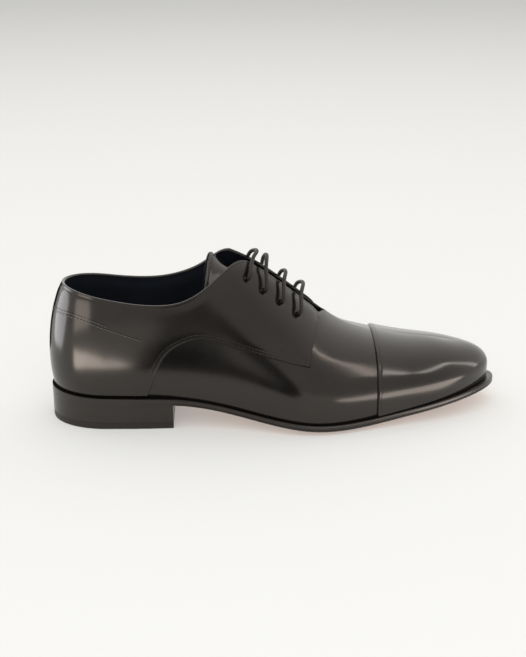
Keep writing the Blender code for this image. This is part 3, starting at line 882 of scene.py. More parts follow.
@dataclass
class Upper:
    """Vamp and lined wall as one hollow shell, open at collar, throat and underneath."""

    bench: Workbench
    wall: float = 2.0
    rim_wall: float = 1.2
    rim_drop: float = 0.8
    skive: float = 9.0
    ribs: int = 190
    even_rows: int = 44
    close_rows: tuple[float, ...] = (0.0, 0.6, 1.4, 2.6)
    below_ridge: float = 1 - 1e-6

    def build(self) -> bpy.types.Object:
        """Builds the shell between its outer face and its lining."""
        last = self.bench.last
        turns = np.linspace(0, 1, self.ribs)
        grids: list[Grid] = []
        for side in Side:
            tops = last.top_rise(turns, side)
            open_ribs = tops < self.below_ridge
            highs = np.where(open_ribs, last.travel(turns, tops, side, -self.rim_drop), 1.0)
            lows = np.zeros(len(turns))
            rises = last.rows(turns, lows, highs, side, np.array(self.close_rows), self.even_rows)
            end = int(np.flatnonzero(open_ribs)[-1]) + 2
            outer = last.skin(turns[:, None], rises, side, np.zeros_like(rises))
            thin = eased(distance_to(outer, outer[:end, -1]) / self.skive)
            wall = self.rim_wall + (self.wall - self.rim_wall) * thin
            inner = last.skin(turns[:, None], rises, side, -wall)
            grids += [Grid(outer), Grid(inner, 1), rim(outer[:, 0], inner[:, 0])]
            grids.append(rim(outer[:end, -1], inner[:end, -1]))
        return self.bench.place("upper_shell", mesh_of("upper_shell", grids), (CALF, LINING))


@dataclass
class ToeCap:
    """Second layer over the toe, with a straight seam."""

    bench: Workbench
    seam: float = 218.2
    layer: float = 1.3
    under: float = 0.12
    edge_round: float = 0.9
    stitch_from_seam: float = 1.9
    stitch_depth: float = 0.16
    stitch_foot: float = 0.06
    stitch_points: int = 120
    foot: float = 0.02
    ribs: int = 110
    even_rows: int = 58
    foot_rows: tuple[float, ...] = (0.0, 0.5, 1.2)
    seam_ribs: tuple[float, ...] = (0.0, 0.12, 0.3, 0.55, 0.85, 1.2, 1.55, 1.9, 2.25, 2.6, 3.1, 3.8)

    def build(self) -> bpy.types.Object:
        """Builds the closed layer."""
        last = self.bench.last
        first = [last.turn_at(self.seam + step) for step in self.seam_ribs]
        turns = np.concatenate([first[:-1], np.linspace(first[-1], 1, self.ribs)])
        grids: list[Grid] = []
        for side in Side:
            lows, highs = np.full(len(turns), self.foot), np.ones(len(turns))
            rises = last.rows(turns, lows, highs, side, np.array(self.foot_rows), self.even_rows)
            seam = last.point(turns[0], rises[0], side)
            from_seam = distance_to(last.point(turns[:, None], rises, side), seam)
            offset = last.gap + self.layer * rounded(from_seam, self.edge_round)
            offset -= self.stitch_depth * trough(from_seam, self.stitch_from_seam)
            outer = last.skin(turns[:, None], rises, side, offset)
            inner = last.skin(turns[:, None], rises, side, np.full_like(rises, self.under))
            grids += [Grid(outer), Grid(inner), rim(outer[:, 0], inner[:, 0]), rim(outer[0], inner[0])]
        return self.bench.place("toe_cap_layer", mesh_of("toe_cap_layer", grids), (CAP_CALF,))

    def stitch_line(self) -> Array:
        """Route of the seam's stitches, over the toe from side to side."""
        last = self.bench.last
        turn = last.turn_at(self.seam + self.stitch_from_seam)
        rises = np.linspace(self.stitch_foot, 1, self.stitch_points)
        offset = last.gap + self.layer - self.stitch_depth
        lateral, medial = (last.skin(turn, rises, side, np.full_like(rises, offset)) for side in Side)
        return np.concatenate([lateral, medial[-2::-1]])


@dataclass
class Quarter:
    """Outer layer of one side: counter, facing, folded top edge and cut lower edge."""

    bench: Workbench
    side: Side
    eyelets: Eyelets
    front: float = 170.0
    layer: float = 0.95
    top_layer: float = 0.6
    foot_layer: float = 0.8
    skive: float = 7.0
    rim_wall: float = 1.2
    under: float = 0.12
    edge_round: float = 0.45
    cut_edge: float = 0.5
    corner: float = 8.0
    foot: float = 0.02
    seam_half: float = 0.2
    top_stitch: float = 1.7
    foot_stitches: tuple[float, float] = (1.5, 3.3)
    front_stitch: float = 1.6
    groove: float = 0.08
    dimple: float = 0.45
    dimple_reach: float = 3.4
    roll_height: float = 0.55
    roll_rows: int = 9
    rim_clear: float = 0.06
    thread_sunk: float = 0.1
    seam_clear: float = 3.5
    foot_clear: float = 3.0
    front_clear: float = 2.0
    front_drop: float = 0.04
    front_stop: float = 0.02
    front_points: int = 40
    stay_back: float = 149.5
    stay_front: float = 2.6
    stay_low: float = 4.9
    stay_high: float = 9.2
    stay_points: int = 24
    probe_turn: float = 0.2
    probe_rise: float = 0.5
    probe_steps: int = 1600
    even_rows: int = 34
    even_ribs: int = 170
    dense_runs: tuple[tuple[float, float], ...] = ((58.0, 80.0), (104.0, 128.0))
    dense_step: float = 0.6
    front_ribs: tuple[float, ...] = (0.0, 0.12, 0.3, 0.55, 0.85, 1.2, 1.6, 2.0, 2.4, 3.0, 3.8, 4.8)
    edge_rows: tuple[float, ...] = (0.0, 0.12, 0.3, 0.55, 0.85, 1.2, 1.6, 2.0, 2.4, 2.9, 3.4, 4.0)
    turns: Array = field(init=False)
    lows: Array = field(init=False)
    highs: Array = field(init=False)
    face: KDTree = field(init=False)
    face_offset: Array = field(init=False)

    def __post_init__(self) -> None:
        """Works out the ribs and the edges."""
        last = self.bench.last
        probe = np.linspace(0, self.probe_turn, self.probe_steps)
        breadth = np.abs(last.point(probe, self.probe_rise, self.side)[:, 1])
        back = probe[np.argmax(breadth > self.seam_half)]
        even = last.along(np.linspace(back, last.turn_at(self.front), self.even_ribs))
        dense = [np.arange(*run, self.dense_step) for run in self.dense_runs]
        places = np.concatenate([even, *dense, self.front - np.array(self.front_ribs)])
        self.turns = np.array([last.turn_at(place) for place in np.unique(np.round(places, 2))])
        ats = last.along(self.turns)
        foot = Spline([row.at for row in QUARTER_FOOT], [row.height for row in QUARTER_FOOT])
        heights = np.where(ats > QUARTER_FOOT[0].at, foot(ats), 0.0)
        self.lows = np.maximum(last.height_rise(self.turns, self.side, heights), self.foot)
        short = self.corner - np.clip(self.front - ats, 0, self.corner)
        rounding = self.corner - np.sqrt(np.maximum(self.corner**2 - short**2, 0))
        roll = self.roll_height * (last.gap + self.top_layer + self.rim_wall) / 2
        tops = last.top_rise(self.turns, self.side)
        self.highs = last.travel(self.turns, tops, self.side, -(roll + rounding))

    def offsets(self, points: Array, rises: Array) -> Array:
        """Height of the outer face over the last, with its edges, stitch troughs and eyelet dimples."""
        last = self.bench.last
        cut = self.lows > self.foot
        foot_line = last.point(self.turns[cut], self.lows[cut], self.side)
        from_foot = distance_to(points, foot_line)
        from_front = distance_to(points, last.point(self.turns[-1], rises[-1], self.side))
        from_top = distance_to(points, last.point(self.turns, self.highs, self.side))
        edge = np.minimum(from_foot, from_front)
        thick = np.minimum(
            self.top_layer + (self.layer - self.top_layer) * eased(from_top / self.skive),
            self.foot_layer + (self.layer - self.foot_layer) * eased(edge / self.skive),
        )
        offset = last.gap + thick * rounded(edge, self.edge_round)
        for place in self.foot_stitches:
            offset -= self.groove * trough(from_foot, place)
        offset -= self.groove * trough(from_front, self.front_stitch)
        offset -= self.groove * trough(from_top, self.top_stitch)
        for bar in BARS:
            turns, rise = self.eyelets.centre(bar, self.side)
            reach = np.linalg.norm(points - last.point(turns, rise, self.side)[0], axis=-1)
            offset -= self.dimple * trough(reach, 0.0, self.dimple_reach)
        return offset

    def rolled_edge(self, top: Array) -> Array:
        """Rows of the folded edge, over the rim from the outer face to the lining.

        Args:
            top: Height of the outer face over the last at the top of each rib.

        Returns:
            A grid of points, one row of it for each rib.
        """
        last = self.bench.last
        edge = last.point(self.turns, self.highs, self.side)
        normal = last.normal(self.turns, self.highs, self.side)
        along = np.gradient(edge, axis=0)
        up = np.cross(along, normal)
        up /= np.linalg.norm(up, axis=1, keepdims=True)
        nudge = 0.01
        climb = last.point(self.turns, self.highs + nudge, self.side) - edge
        up *= np.sign((up * climb).sum(axis=1, keepdims=True))
        folded = eased((self.front - self.corner - last.along(self.turns)) / self.corner)
        inner = self.under - (self.under + self.rim_wall + self.rim_clear) * folded
        radius, middle = (top - inner) / 2, (top + inner) / 2
        rows = []
        for angle in np.linspace(0, math.pi, self.roll_rows + 1)[1:]:
            out = (middle + radius * math.cos(angle))[:, None]
            rows.append(edge + normal * out + up * (radius * self.roll_height * math.sin(angle))[:, None])
        return np.stack(rows, axis=1)

    def build(self) -> bpy.types.Object:
        """Builds the closed layer with its folded edge."""
        last = self.bench.last
        close = np.array(self.edge_rows)
        rises = last.rows(self.turns, self.lows, self.highs, self.side, close, self.even_rows)
        points = last.point(self.turns[:, None], rises, self.side)
        offset = self.offsets(points, rises)
        self.face_offset = offset.ravel()
        self.face = tree_of(points.reshape(-1, 3))
        outer = last.skin(self.turns[:, None], rises, self.side, offset)
        inner = last.skin(self.turns[:, None], rises, self.side, np.full_like(rises, self.under))
        roll = self.rolled_edge(offset[:, -1])
        outer = np.concatenate([outer, roll], axis=1)
        paired = np.concatenate([inner, np.repeat(inner[:, -1:], self.roll_rows, axis=1)], axis=1)
        last_ribs = int(np.sum(self.front - last.along(self.turns) < self.cut_edge))
        low_rows = int(np.sum(close < self.cut_edge))
        grids = [Grid(outer[: 1 - last_ribs, low_rows - 1 :]), Grid(outer[-last_ribs:, low_rows - 1 :], 1)]
        grids += [Grid(outer[:, :low_rows], 1), Grid(inner)]
        grids += [rim(outer[:, 0], inner[:, 0], 1), rim(outer[:, -1], inner[:, -1])]
        grids += [rim(outer[0], paired[0]), rim(outer[-1], paired[-1], 1)]
        name = f"quarter_{self.side.name.lower()}_layer"
        return self.bench.place(name, mesh_of(name, grids), (CALF, WELT_AND_SHADE))

    def line(self, turns: Array, rises: Array) -> Array:
        """Route of stitches that lie on the outer face, sunk into their trough."""
        points = self.bench.last.point(turns, rises, self.side)
        nearest = [self.face.find(Vector(point))[1] for point in points]
        offset = self.face_offset[nearest] - self.thread_sunk
        return self.bench.last.skin(turns, rises, self.side, offset)

    def stitch_lines(self) -> list[Array]:
        """Routes of the stitches: top edge and front, double lower edge, and the facing's stay."""
        last = self.bench.last
        ats = last.along(self.turns)
        top = (ats > self.seam_clear) & (ats < self.front - self.front_stitch - self.front_clear)
        turns = self.turns[top]
        below = self.top_stitch * last.slant(turns, self.highs[top], self.side)
        rises = last.travel(turns, self.highs[top], self.side, -below)
        front_turn = last.turn_at(self.front - self.front_stitch)
        front_low = np.interp(front_turn, self.turns, self.lows) + self.front_stop
        front_rises = np.linspace(rises[-1] - self.front_drop, front_low, self.front_points)
        path_turns = np.concatenate([turns, np.full(self.front_points, front_turn)])
        lines = [self.line(path_turns, np.concatenate([rises, front_rises]))]
        cut = (ats > QUARTER_FOOT[0].at + self.foot_clear) & (ats < self.front - self.front_stitch)
        slant = last.slant(self.turns[cut], self.lows[cut], self.side)
        for place in self.foot_stitches:
            rises = last.travel(self.turns[cut], self.lows[cut], self.side, place * slant)
            lines.append(self.line(self.turns[cut], rises))
        lines.append(self.stay_line())
        return lines

    def stay_line(self) -> Array:
        """Small stitched box that holds the front end of the facing."""
        last = self.bench.last
        back, front, count = self.stay_back, self.front - self.stay_front, self.stay_points
        along = np.concatenate([np.linspace(back, front, count), np.linspace(front, back, count), [back]])
        height = np.repeat((self.stay_low, self.stay_high, self.stay_low), (count, count, 1))
        turns = np.array([last.turn_at(place) for place in along])
        lows = np.interp(turns, self.turns, self.lows)
        return self.line(turns, last.travel(turns, lows, self.side, height))


class RowPlace(NamedTuple):
    """Height of the heel's decorative row on a rib."""

    turn: float
    height: float


@dataclass
class HeelRows:
    """Two decorative rows round the heel, the upper one short and the lower one run out to a point."""

    quarter: Quarter
    apart: float = 2.0
    start: float = 0.004
    upper_end: float = 0.236
    points: int = 70
    # Height over each row of the dark line that paints the shade on the groove's upper side.
    shade_raise: float = 0.75
    table: tuple[RowPlace, ...] = (
        RowPlace(0.0, 77.3),
        RowPlace(0.06, 77.6),
        RowPlace(0.12, 77.9),
        RowPlace(0.153, 77.5),
        RowPlace(0.202, 74.8),
        RowPlace(0.246, 69.9),
        RowPlace(0.282, 64.4),
        RowPlace(0.298, 61.8),
    )

    def lines(self, raised: float = 0.0) -> list[Array]:
        """Routes of both rows on one side, or of the dark lines raised over them that paint the shade of
        each row's groove.
        """
        last, side = self.quarter.bench.last, self.quarter.side
        end = self.table[-1].turn
        heights = Spline([row.turn for row in self.table], [row.height for row in self.table])
        found = []
        for stop, apart in ((self.upper_end, 0.0), (end, self.apart)):
            turns = np.linspace(self.start, stop, self.points)
            drop = apart * np.clip((end - turns) / (end - self.upper_end), 0, 1)
            rises = last.height_rise(turns, side, heights(turns) - drop + raised)
            found.append(self.quarter.line(turns, rises))
        return found


@dataclass
class Tongue:
    """Leather tongue that sags under the facings, with a rounded free edge."""

    bench: Workbench
    depth: float = 5.6
    thick: float = 1.8
    back: float = 110.5
    front: float = 189.0
    slant: float = 2.4
    back_half: float = 29.0
    front_half: float = 14.0
    stitch: float = 2.6
    stitch_half: float = 0.5
    stitch_depth: float = 0.2
    stitch_from: float = 160.0
    stitch_share: float = 0.11
    stitch_sunk: float = 0.1
    stitch_points: tuple[int, int] = (60, 40)
    edge_round: float = 0.9
    ribs: int = 90
    rows: int = 48
    edge_ribs: tuple[float, ...] = (0.0, 0.15, 0.35, 0.6, 0.9, 1.4, 2.0, 2.6)
    edge_shares: tuple[float, ...] = (0.0, 0.006, 0.014, 0.024, 0.036, 0.056, 0.08)

    def surface(self, places: Array, shares: Array, side: Side, height: Array) -> Array:
        """Points of the tongue.

        Args:
            places: Places along the ridge.
            shares: Shares of the way from the tongue's edge, at 0, to the ridge, at 1.
            side: Side of the tongue.
            height: Height over the tongue's upper face.

        Returns:
            Points in millimetres, in the last axis.
        """
        last = self.bench.last
        feet = Spline([row.top_at for row in SECTIONS], [row.at for row in SECTIONS])(places)
        halves = np.interp(places, (self.back, self.front), (self.back_half, self.front_half))
        straight = np.array([last.turn_at(foot) for foot in feet])
        low = last.breadth_rise(straight, side, halves)[:, None]
        slanted = feet[:, None] - self.slant * (1 - shares) ** 3
        turns = np.arccos(1 - 2 * slanted / last.length) / math.pi
        sag = Spline([row.place for row in TONGUE_SAG], [row.depth for row in TONGUE_SAG])(places)
        depth = self.depth + sag[:, None] * np.sin(np.pi / 2 * shares)
        return last.skin(turns, low + (1 - low) * shares, side, height - depth)

    def build(self) -> bpy.types.Object:
        """Builds the closed tongue."""
        close = self.back + np.array(self.edge_ribs)
        places = np.concatenate([close, np.linspace(close[-1], self.front, self.ribs)[1:]])
        near = self.edge_shares
        share = np.concatenate([near, np.linspace(near[-1], 1, self.rows)[1:]])
        shares = np.broadcast_to(share, (len(places), len(share)))
        grids: list[Grid] = []
        for side in Side:
            points = self.surface(places, shares, side, np.zeros(shares.shape))
            edge = distance_to(points, np.concatenate([points[::-1, 0], points[0]]))
            half = self.thick / 2 * rounded(edge, self.edge_round)
            sunk = self.stitch_depth * trough(edge, self.stitch, self.stitch_half)
            outer = self.surface(places, shares, side, half - self.thick / 2 - sunk)
            inner = self.surface(places, shares, side, -half - self.thick / 2)
            grids += [Grid(outer), Grid(inner, 1), rim(outer[-1], inner[-1])]
            grids += [rim(outer[:, 0], inner[:, 0]), rim(outer[0], inner[0])]
        return self.bench.place("tongue_leather", mesh_of("tongue_leather", grids), (CALF, LINING))

    def stitch_line(self) -> Array:
        """Row along the free edge, from side to side."""
        along, across = self.stitch_points
        end, share = self.back + self.stitch, self.stitch_share
        places = np.concatenate([np.linspace(self.stitch_from, end, along), np.full(across, end)])
        shares = np.concatenate([np.full(along, share), np.linspace(share, 1, across)])[:, None]
        height = np.full(shares.shape, -self.stitch_sunk)
        sides = [self.surface(places, shares, side, height)[:, 0] for side in Side]
        return np.concatenate([sides[0], sides[1][-2::-1]])


class FootbedRow(NamedTuple):
    """One row of the insole: share of the way out to its border, and share of its thickness up."""

    share: float
    lift: float


FOOTBED = (
    FootbedRow(0.0, 1.0),
    FootbedRow(0.5, 1.0),
    FootbedRow(0.85, 1.0),
    FootbedRow(0.99952, 0.9),
    FootbedRow(0.9976, 0.4),
    FootbedRow(0.994, 0.0),
    FootbedRow(0.5, 0.0),
    FootbedRow(0.0, 0.0),
)


@dataclass
class Sole:
    """Leather outsole with a waxed bead for an edge, and the insole that lies in the shoe."""

    bench: Workbench
    crown: float = 3.4
    arch_run: float = 60.0
    heel_breast: float = 82.4
    groove_end: float = 235.0
    insole: float = 2.2
    wall: float = 2.0
    channel: float = 0.9
    channel_depth: float = 0.25
    channel_half: float = 0.008
    channel_clear: float = 0.3
    heel_calm: float = 0.12
    turns: int = 280
    side_rows: int = 30
    ledge_insets: tuple[float, ...] = (9.0, 4.0, 1.4)
    tread_shares: tuple[float, ...] = (
        0.985, 0.965, 0.94, 0.925, 0.91, 0.9, 0.89, 0.875, 0.86, 0.83, 0.78,
        0.7, 0.6, 0.5, 0.4, 0.3, 0.2, 0.1, 0.0,
    )

    def middles(self, turns: Array) -> Array:
        """Points under the ridge that the ribs of a flat piece end on."""
        last = self.bench.last
        at = last.along(turns)
        return np.stack([last.columns["top_at"](at), last.columns["middle"](at)], axis=-1)

    def tread(self, x: Array, share: Array) -> Array:
        """Height of the underside: lower to the middle, flat on the floor and cut by a channel."""
        low = self.bench.last.columns["tread"](x)
        waist = np.clip((x - self.heel_breast) / self.arch_run, 0, 1)
        height = np.maximum(low - self.crown * waist * (1 - share**2), 0.0)
        channel = self.channel_depth * trough(share, self.channel, self.channel_half)
        return height + channel * (height > self.channel_clear)

    def side_steps(self) -> Array:
        """Inset and share of the rows of the edge, through its steps."""
        steps = np.array(SOLE_SIDE)
        places = np.linspace(0, len(steps) - 1, self.side_rows)
        found = Spline(range(len(steps)), steps)(places)
        found[:, 0] = np.maximum(found[:, 0], 0)
        return np.stack([found[:, 0], np.maximum.accumulate(np.clip(found[:, 1], 0, 1))], axis=1)

    def outsole(self) -> bpy.types.Object:
        """Builds the outsole: black edge and top, tan underside."""
        last = self.bench.last
        turns = np.linspace(0, 1, self.turns)
        centre = self.middles(turns)
        calm = np.where(last.along(turns) < self.heel_breast, self.heel_calm, 1.0)
        grids: list[Grid] = []
        for side in Side:
            top = [over(centre, last.sole_top(centre[:, :1]))]
            for inset in self.ledge_insets:
                plan = last.inset_outline(turns, side.value, np.full(len(turns), inset))
                top.append(over(plan, last.sole_top(plan[:, :1])))
            edge = []
            for inset, share in self.side_steps():
                plan = last.inset_outline(turns, side.value, inset * calm)
                high, low = last.sole_top(plan[:, :1]), last.columns["tread"](plan[:, :1])
                edge.append(over(plan, high + (low - high) * share))
            rand = edge[-1][:, :2]
            under = [edge[-1]]
            for share in self.tread_shares:
                plan = centre + (rand - centre) * share
                under.append(over(plan, self.tread(plan[:, :1], np.array(share))))
            ledge = np.stack([*top, edge[0]], axis=1)
            split = int(np.argmax(last.along(turns) > self.groove_end))
            grids += [Grid(ledge[: split + 1], 2), Grid(ledge[split:])]
            grids += [Grid(np.stack(edge, axis=1)), Grid(np.stack(under, axis=1), 1)]
        return self.bench.place("outsole_leather", mesh_of("outsole_leather", grids), (EDGE, TREAD, WELT_AND_SHADE))

    def footbed(self) -> bpy.types.Object:
        """Builds the insole with a soft rounded edge."""
        last = self.bench.last
        turns = np.linspace(0, 1, self.turns)
        ledge = last.columns["ledge"](last.along(turns))
        centre = self.middles(turns)
        grids: list[Grid] = []
        for side in Side:
            border = last.inset_outline(turns, side.value, ledge + self.wall + 3 * last.gap)
            rows = []
            for row in FOOTBED:
                plan = centre + (border - centre) * row.share
                rows.append(over(plan, last.sole_top(plan[:, :1]) + last.gap + self.insole * row.lift))
            grids.append(Grid(np.stack(rows, axis=1)))
        return self.bench.place("insole_sock", mesh_of("insole_sock", grids), (SOCK,))


class SideRow(NamedTuple):
    """One row of the side of a heel piece: its inset, and one height or a height for each rib."""

    inset: float
    heights: float | Array


@dataclass
class Heel:
    """Leather heel block, and the rubber piece that it stands on."""

    bench: Workbench
    breast: float = 82.4
    top_piece: float = 4.6
    turns: int = 90
    block_inset: float = 0.12
    sole_clear: float = 0.06
    piece_clear: float = 0.1
    rubber_inset: float = 0.2
    shoulder_inset: float = 0.12
    shoulder_drop: float = 0.2
    bevel: float = 0.5
    bevel_inset_share: float = 0.35
    bevel_height_share: float = 0.3

    def ribs(self) -> Array:
        """Turns of the ribs, from the back of the heel to its breast."""
        return np.linspace(0, self.bench.last.turn_at(self.breast), self.turns)

    def solid(self, name: str, finish: Finish, rows: Sequence[SideRow]) -> bpy.types.Object:
        """Builds a straight-sided piece with a flat breast.

        Args:
            name: Name of the piece.
            finish: Its finish.
            rows: Rows of its side, from top to bottom.

        Returns:
            The object.
        """
        last = self.bench.last
        turns = self.ribs()
        middle_x = rows[0].inset + (1 - rows[0].inset / self.breast) * last.along(turns)
        grids: list[Grid] = []
        for side in Side:
            wall = []
            for row in rows:
                plan = last.inset_outline(turns, side.value, np.full(len(turns), row.inset))
                plan[-1, 0] = self.breast
                wall.append(over(plan, np.broadcast_to(row.heights, turns.shape)[:, None]))
            flat = np.stack([middle_x, np.zeros(len(turns))], axis=1)
            top, bottom = (over(flat, wall[end][:, 2:]) for end in (0, -1))
            grids.append(Grid(np.stack([top, *wall, bottom], axis=1)))
            face = np.array([row[-1] for row in wall])
            core = face * np.array([1.0, 0.0, 1.0])
            grids.append(rim(face, core))
        return self.bench.place(name, mesh_of(name, grids), (finish,))

    def block(self) -> bpy.types.Object:
        """Builds the heel block, which reaches up to the sole."""
        last = self.bench.last
        top = last.columns["tread"](last.along(self.ribs())) - self.sole_clear
        rows = [SideRow(self.block_inset, high) for high in (top, self.top_piece + self.piece_clear)]
        return self.solid("heel_block", EDGE, rows)

    def rubber(self) -> bpy.types.Object:
        """Builds the top piece with a small bevel at the floor."""
        side, bevel = self.rubber_inset, self.bevel
        rows = [
            SideRow(side + self.shoulder_inset, self.top_piece),
            SideRow(side, self.top_piece - self.shoulder_drop),
            SideRow(side, bevel),
            SideRow(side + bevel * self.bevel_inset_share, bevel * self.bevel_height_share),
            SideRow(side + bevel, 0.0),
        ]
        return self.solid("heel_rubber_piece", RUBBER, rows)


@dataclass
class Lace:
    """One thin round cord in straight bars, whose ends stop inside the top eyelets."""

    bench: Workbench
    eyelets: Eyelets
    diameter: float = 2.75
    lane: float = 2.9
    wall: float = 2.0
    layer: float = 1.3
    bar_shares: tuple[float, float] = (0.3, 0.65)
    bar_roundness: float = 0.8
    spacing: float = 0.34
    sides: int = 20
    strands: int = 4
    plait: float = 2.6
    relief: float = 0.07

    def place(self, bar: Bar, side: Side, lane: float, offset: float) -> Array:
        """Point beside an eyelet, a lane further down the wall and set out from the last."""
        turns, rises = self.eyelets.centre(bar, side, lane)
        return self.bench.last.skin(turns, rises, side, np.array([offset]))[0]

    def bar(self, bar: Bar, first: Side) -> list[Array]:
        """Route of one bar, from inside one eyelet over the throat to inside the other."""
        last = self.bench.last
        second = Side(-first.value)
        depths = (-(self.wall + self.diameter), 0.0, last.gap + self.layer + self.diameter)
        ends = [[self.place(bar, side, 0.0, depth) for depth in depths] for side in (first, second)]
        top = (ends[0][1] + ends[1][1]) / 2 + np.array([bar.lean, 0.0, bar.height])
        slopes = []
        for end in ends:
            slope = []
            for share in self.bar_shares:
                point = end[2] + (top - end[2]) * share
                rise = math.sin(math.pi / 2 * share) ** self.bar_roundness
                point[2] = end[2][2] + (top[2] - end[2][2]) * rise
                slope.append(point)
            slopes.append(slope)
        return ends[0] + slopes[0] + [top] + slopes[1][::-1] + ends[1][::-1]

    def under(self, bars: Sequence[Bar], side: Side, lane: float) -> list[Array]:
        """Route under the facing past these eyelets."""
        depth = -(self.wall + 2 * self.bench.last.gap + self.diameter / 2)
        return [self.place(bar, side, lane, depth) for bar in bars]

    @staticmethod
    def between(first: Bar, second: Bar) -> Bar:
        """A place half way between two bars."""
        return Bar((first.at + second.at) / 2, (first.set_back + second.set_back) / 2, 0.0, 0.0)

    def route(self) -> Array:
        """Points of the whole cord, which starts and ends inside the top eyelet of the outer side."""
        one, two, three, four = BARS
        between = self.between
        points = self.bar(four, Side.LATERAL)
        points += self.under([between(three, four), three, between(two, three)], Side.MEDIAL, -self.lane)
        points += self.bar(two, Side.MEDIAL)
        points += self.under([between(one, two)], Side.LATERAL, 0.0)
        points += self.bar(one, Side.LATERAL)
        points += self.under([between(one, two), two, between(two, three)], Side.MEDIAL, self.lane)
        points += self.bar(three, Side.MEDIAL)
        points += self.under([between(three, four), four], Side.LATERAL, self.lane)
        return np.array(points)

    def build(self) -> bpy.types.Object:
        """Builds the cord as a plaited tube."""
        route = self.route()
        gone = gone_along(route)
        log.info("lace length %.0f mm", gone[-1])
        smooth = Spline(gone, route)
        places = np.linspace(0, gone[-1], int(gone[-1] / self.spacing))
        path = smooth(places)
        ahead = np.gradient(path, axis=0)
        ahead /= np.linalg.norm(ahead, axis=1, keepdims=True)
        across = np.cross(ahead[0], [0.0, 0.0, 1.0])
        rings = []
        angles = np.linspace(0, 2 * math.pi, self.sides + 1)
        for point, direction, gone_by in zip(path, ahead, places):
            across = across - direction * (across @ direction)
            across /= np.linalg.norm(across)
            upward = np.cross(direction, across)
            phase = 2 * math.pi * gone_by / self.plait
            weave = np.cos(self.strands * angles + phase) * np.cos(self.strands * angles - phase)
            radius = self.diameter / 2 * (1 - self.relief + self.relief * weave)
            spoke = np.cos(angles)[:, None] * across + np.sin(angles)[:, None] * upward
            rings.append(point + radius[:, None] * spoke)
        tube = np.array(rings)
        ends = [rim(tube[end], np.repeat(path[end][None], self.sides + 1, axis=0)) for end in (0, -1)]
        return self.bench.place("lace_cord", mesh_of("lace_cord", [Grid(tube), *ends]), (CORD,))


class StitchTree:
    """Geometry nodes that lay stitches along lines."""

    INPUTS = (
        ("Pitch", "NodeSocketFloat"),
        ("Length", "NodeSocketFloat"),
        ("Thread", "NodeSocketFloat"),
        ("Finish", "NodeSocketMaterial"),
    )

    def __init__(self) -> None:
        """Builds the tree."""
        self.tree = bpy.data.node_groups.new("stitch_row", "GeometryNodeTree")
        face = self.tree.interface
        face.new_socket("Lines", in_out="INPUT", socket_type="NodeSocketGeometry")
        self.names = {}
        for name, kind in self.INPUTS:
            self.names[name] = face.new_socket(name, in_out="INPUT", socket_type=kind).identifier
        face.new_socket("Stitches", in_out="OUTPUT", socket_type="NodeSocketGeometry")
        nodes = Nodes(self.tree)
        source, sink = nodes.add("NodeGroupInput"), nodes.add("NodeGroupOutput")
        lines = nodes.add("GeometryNodeMeshToCurve", {"Mesh": source.outputs["Lines"]})
        even = nodes.add("GeometryNodeResampleCurve", mode="LENGTH")
        self.tree.links.new(lines.outputs[0], even.inputs["Curve"])
        self.tree.links.new(source.outputs["Pitch"], even.inputs["Length"])
        size = nodes.add("ShaderNodeCombineXYZ", {"X": source.outputs["Length"]})
        self.tree.links.new(source.outputs["Thread"], size.inputs["Y"])
        self.tree.links.new(source.outputs["Thread"], size.inputs["Z"])
        bead = nodes.add("GeometryNodeMeshUVSphere", {"Segments": 8, "Rings": 6, "Radius": 0.5})
        stitch = nodes.add("GeometryNodeTransform", {"Geometry": bead.outputs[0], "Scale": size.outputs[0]})
        tangent = nodes.add("GeometryNodeInputTangent")
        aim = nodes.add("FunctionNodeAlignRotationToVector", {"Vector": tangent.outputs[0]}, axis="X")
        laid = {"Points": even.outputs[0], "Instance": stitch.outputs[0], "Rotation": aim.outputs[0]}
        copies = nodes.add("GeometryNodeInstanceOnPoints", laid)
        real = nodes.add("GeometryNodeRealizeInstances", {"Geometry": copies.outputs[0]})
        dressed = nodes.add("GeometryNodeSetMaterial", {"Geometry": real.outputs[0]})
        self.tree.links.new(source.outputs["Finish"], dressed.inputs["Material"])
        self.tree.links.new(dressed.outputs[0], sink.inputs[0])


@dataclass
class Stitching:
    """Rows of stitches on the leather."""

    bench: Workbench
    tree: StitchTree
    pitch: float = 2.3
    length: float = 1.9
    thread: float = 0.5

    def sew(self, name: str, lines: Sequence[Array], slot: str, finish: Finish = THREAD) -> None:
        """Sews stitches along lines.

        Args:
            name: Name of the piece.
            lines: Routes in millimetres.
            slot: Not used.
            finish: Finish of the thread.
        """
        points, edges, start = [], [], 0
        for line in lines:
            points.append(to_frame(line))
            edges += [(start + i, start + i + 1) for i in range(len(line) - 1)]
            start += len(line)
        mesh = bpy.data.meshes.new(name)
        mesh.from_pydata(np.concatenate(points).tolist(), edges, [])
        made = bpy.data.objects.new(name, mesh)
        self.bench.shoe.objects.link(made)
        row = made.modifiers.new("stitch_row", "NODES")
        row.node_group = self.tree.tree
        sizes = (self.pitch * MM, self.length * MM, self.thread * MM)
        for name, value in zip(self.tree.names, (*sizes, self.bench.finish(finish))):
            row[self.tree.names[name]] = value
        self.bench.settle(made)
        made.data.shade_smooth()
        self.bench.seat(made, slot)


class LightUse(Enum):
    """What a light shows in: the polish alone, or the floor and body colours alone."""

    POLISH = "polish"
    BODY = "body"


def keep_to(light: bpy.types.Object, names: Sequence[str]) -> None:
    """Keeps a light to the pieces named."""
    pieces = bpy.data.collections.new(f"{light.name}_lit")
    for name in names:
        pieces.objects.link(bpy.data.objects[name])
    light.light_linking.receiver_collection = pieces


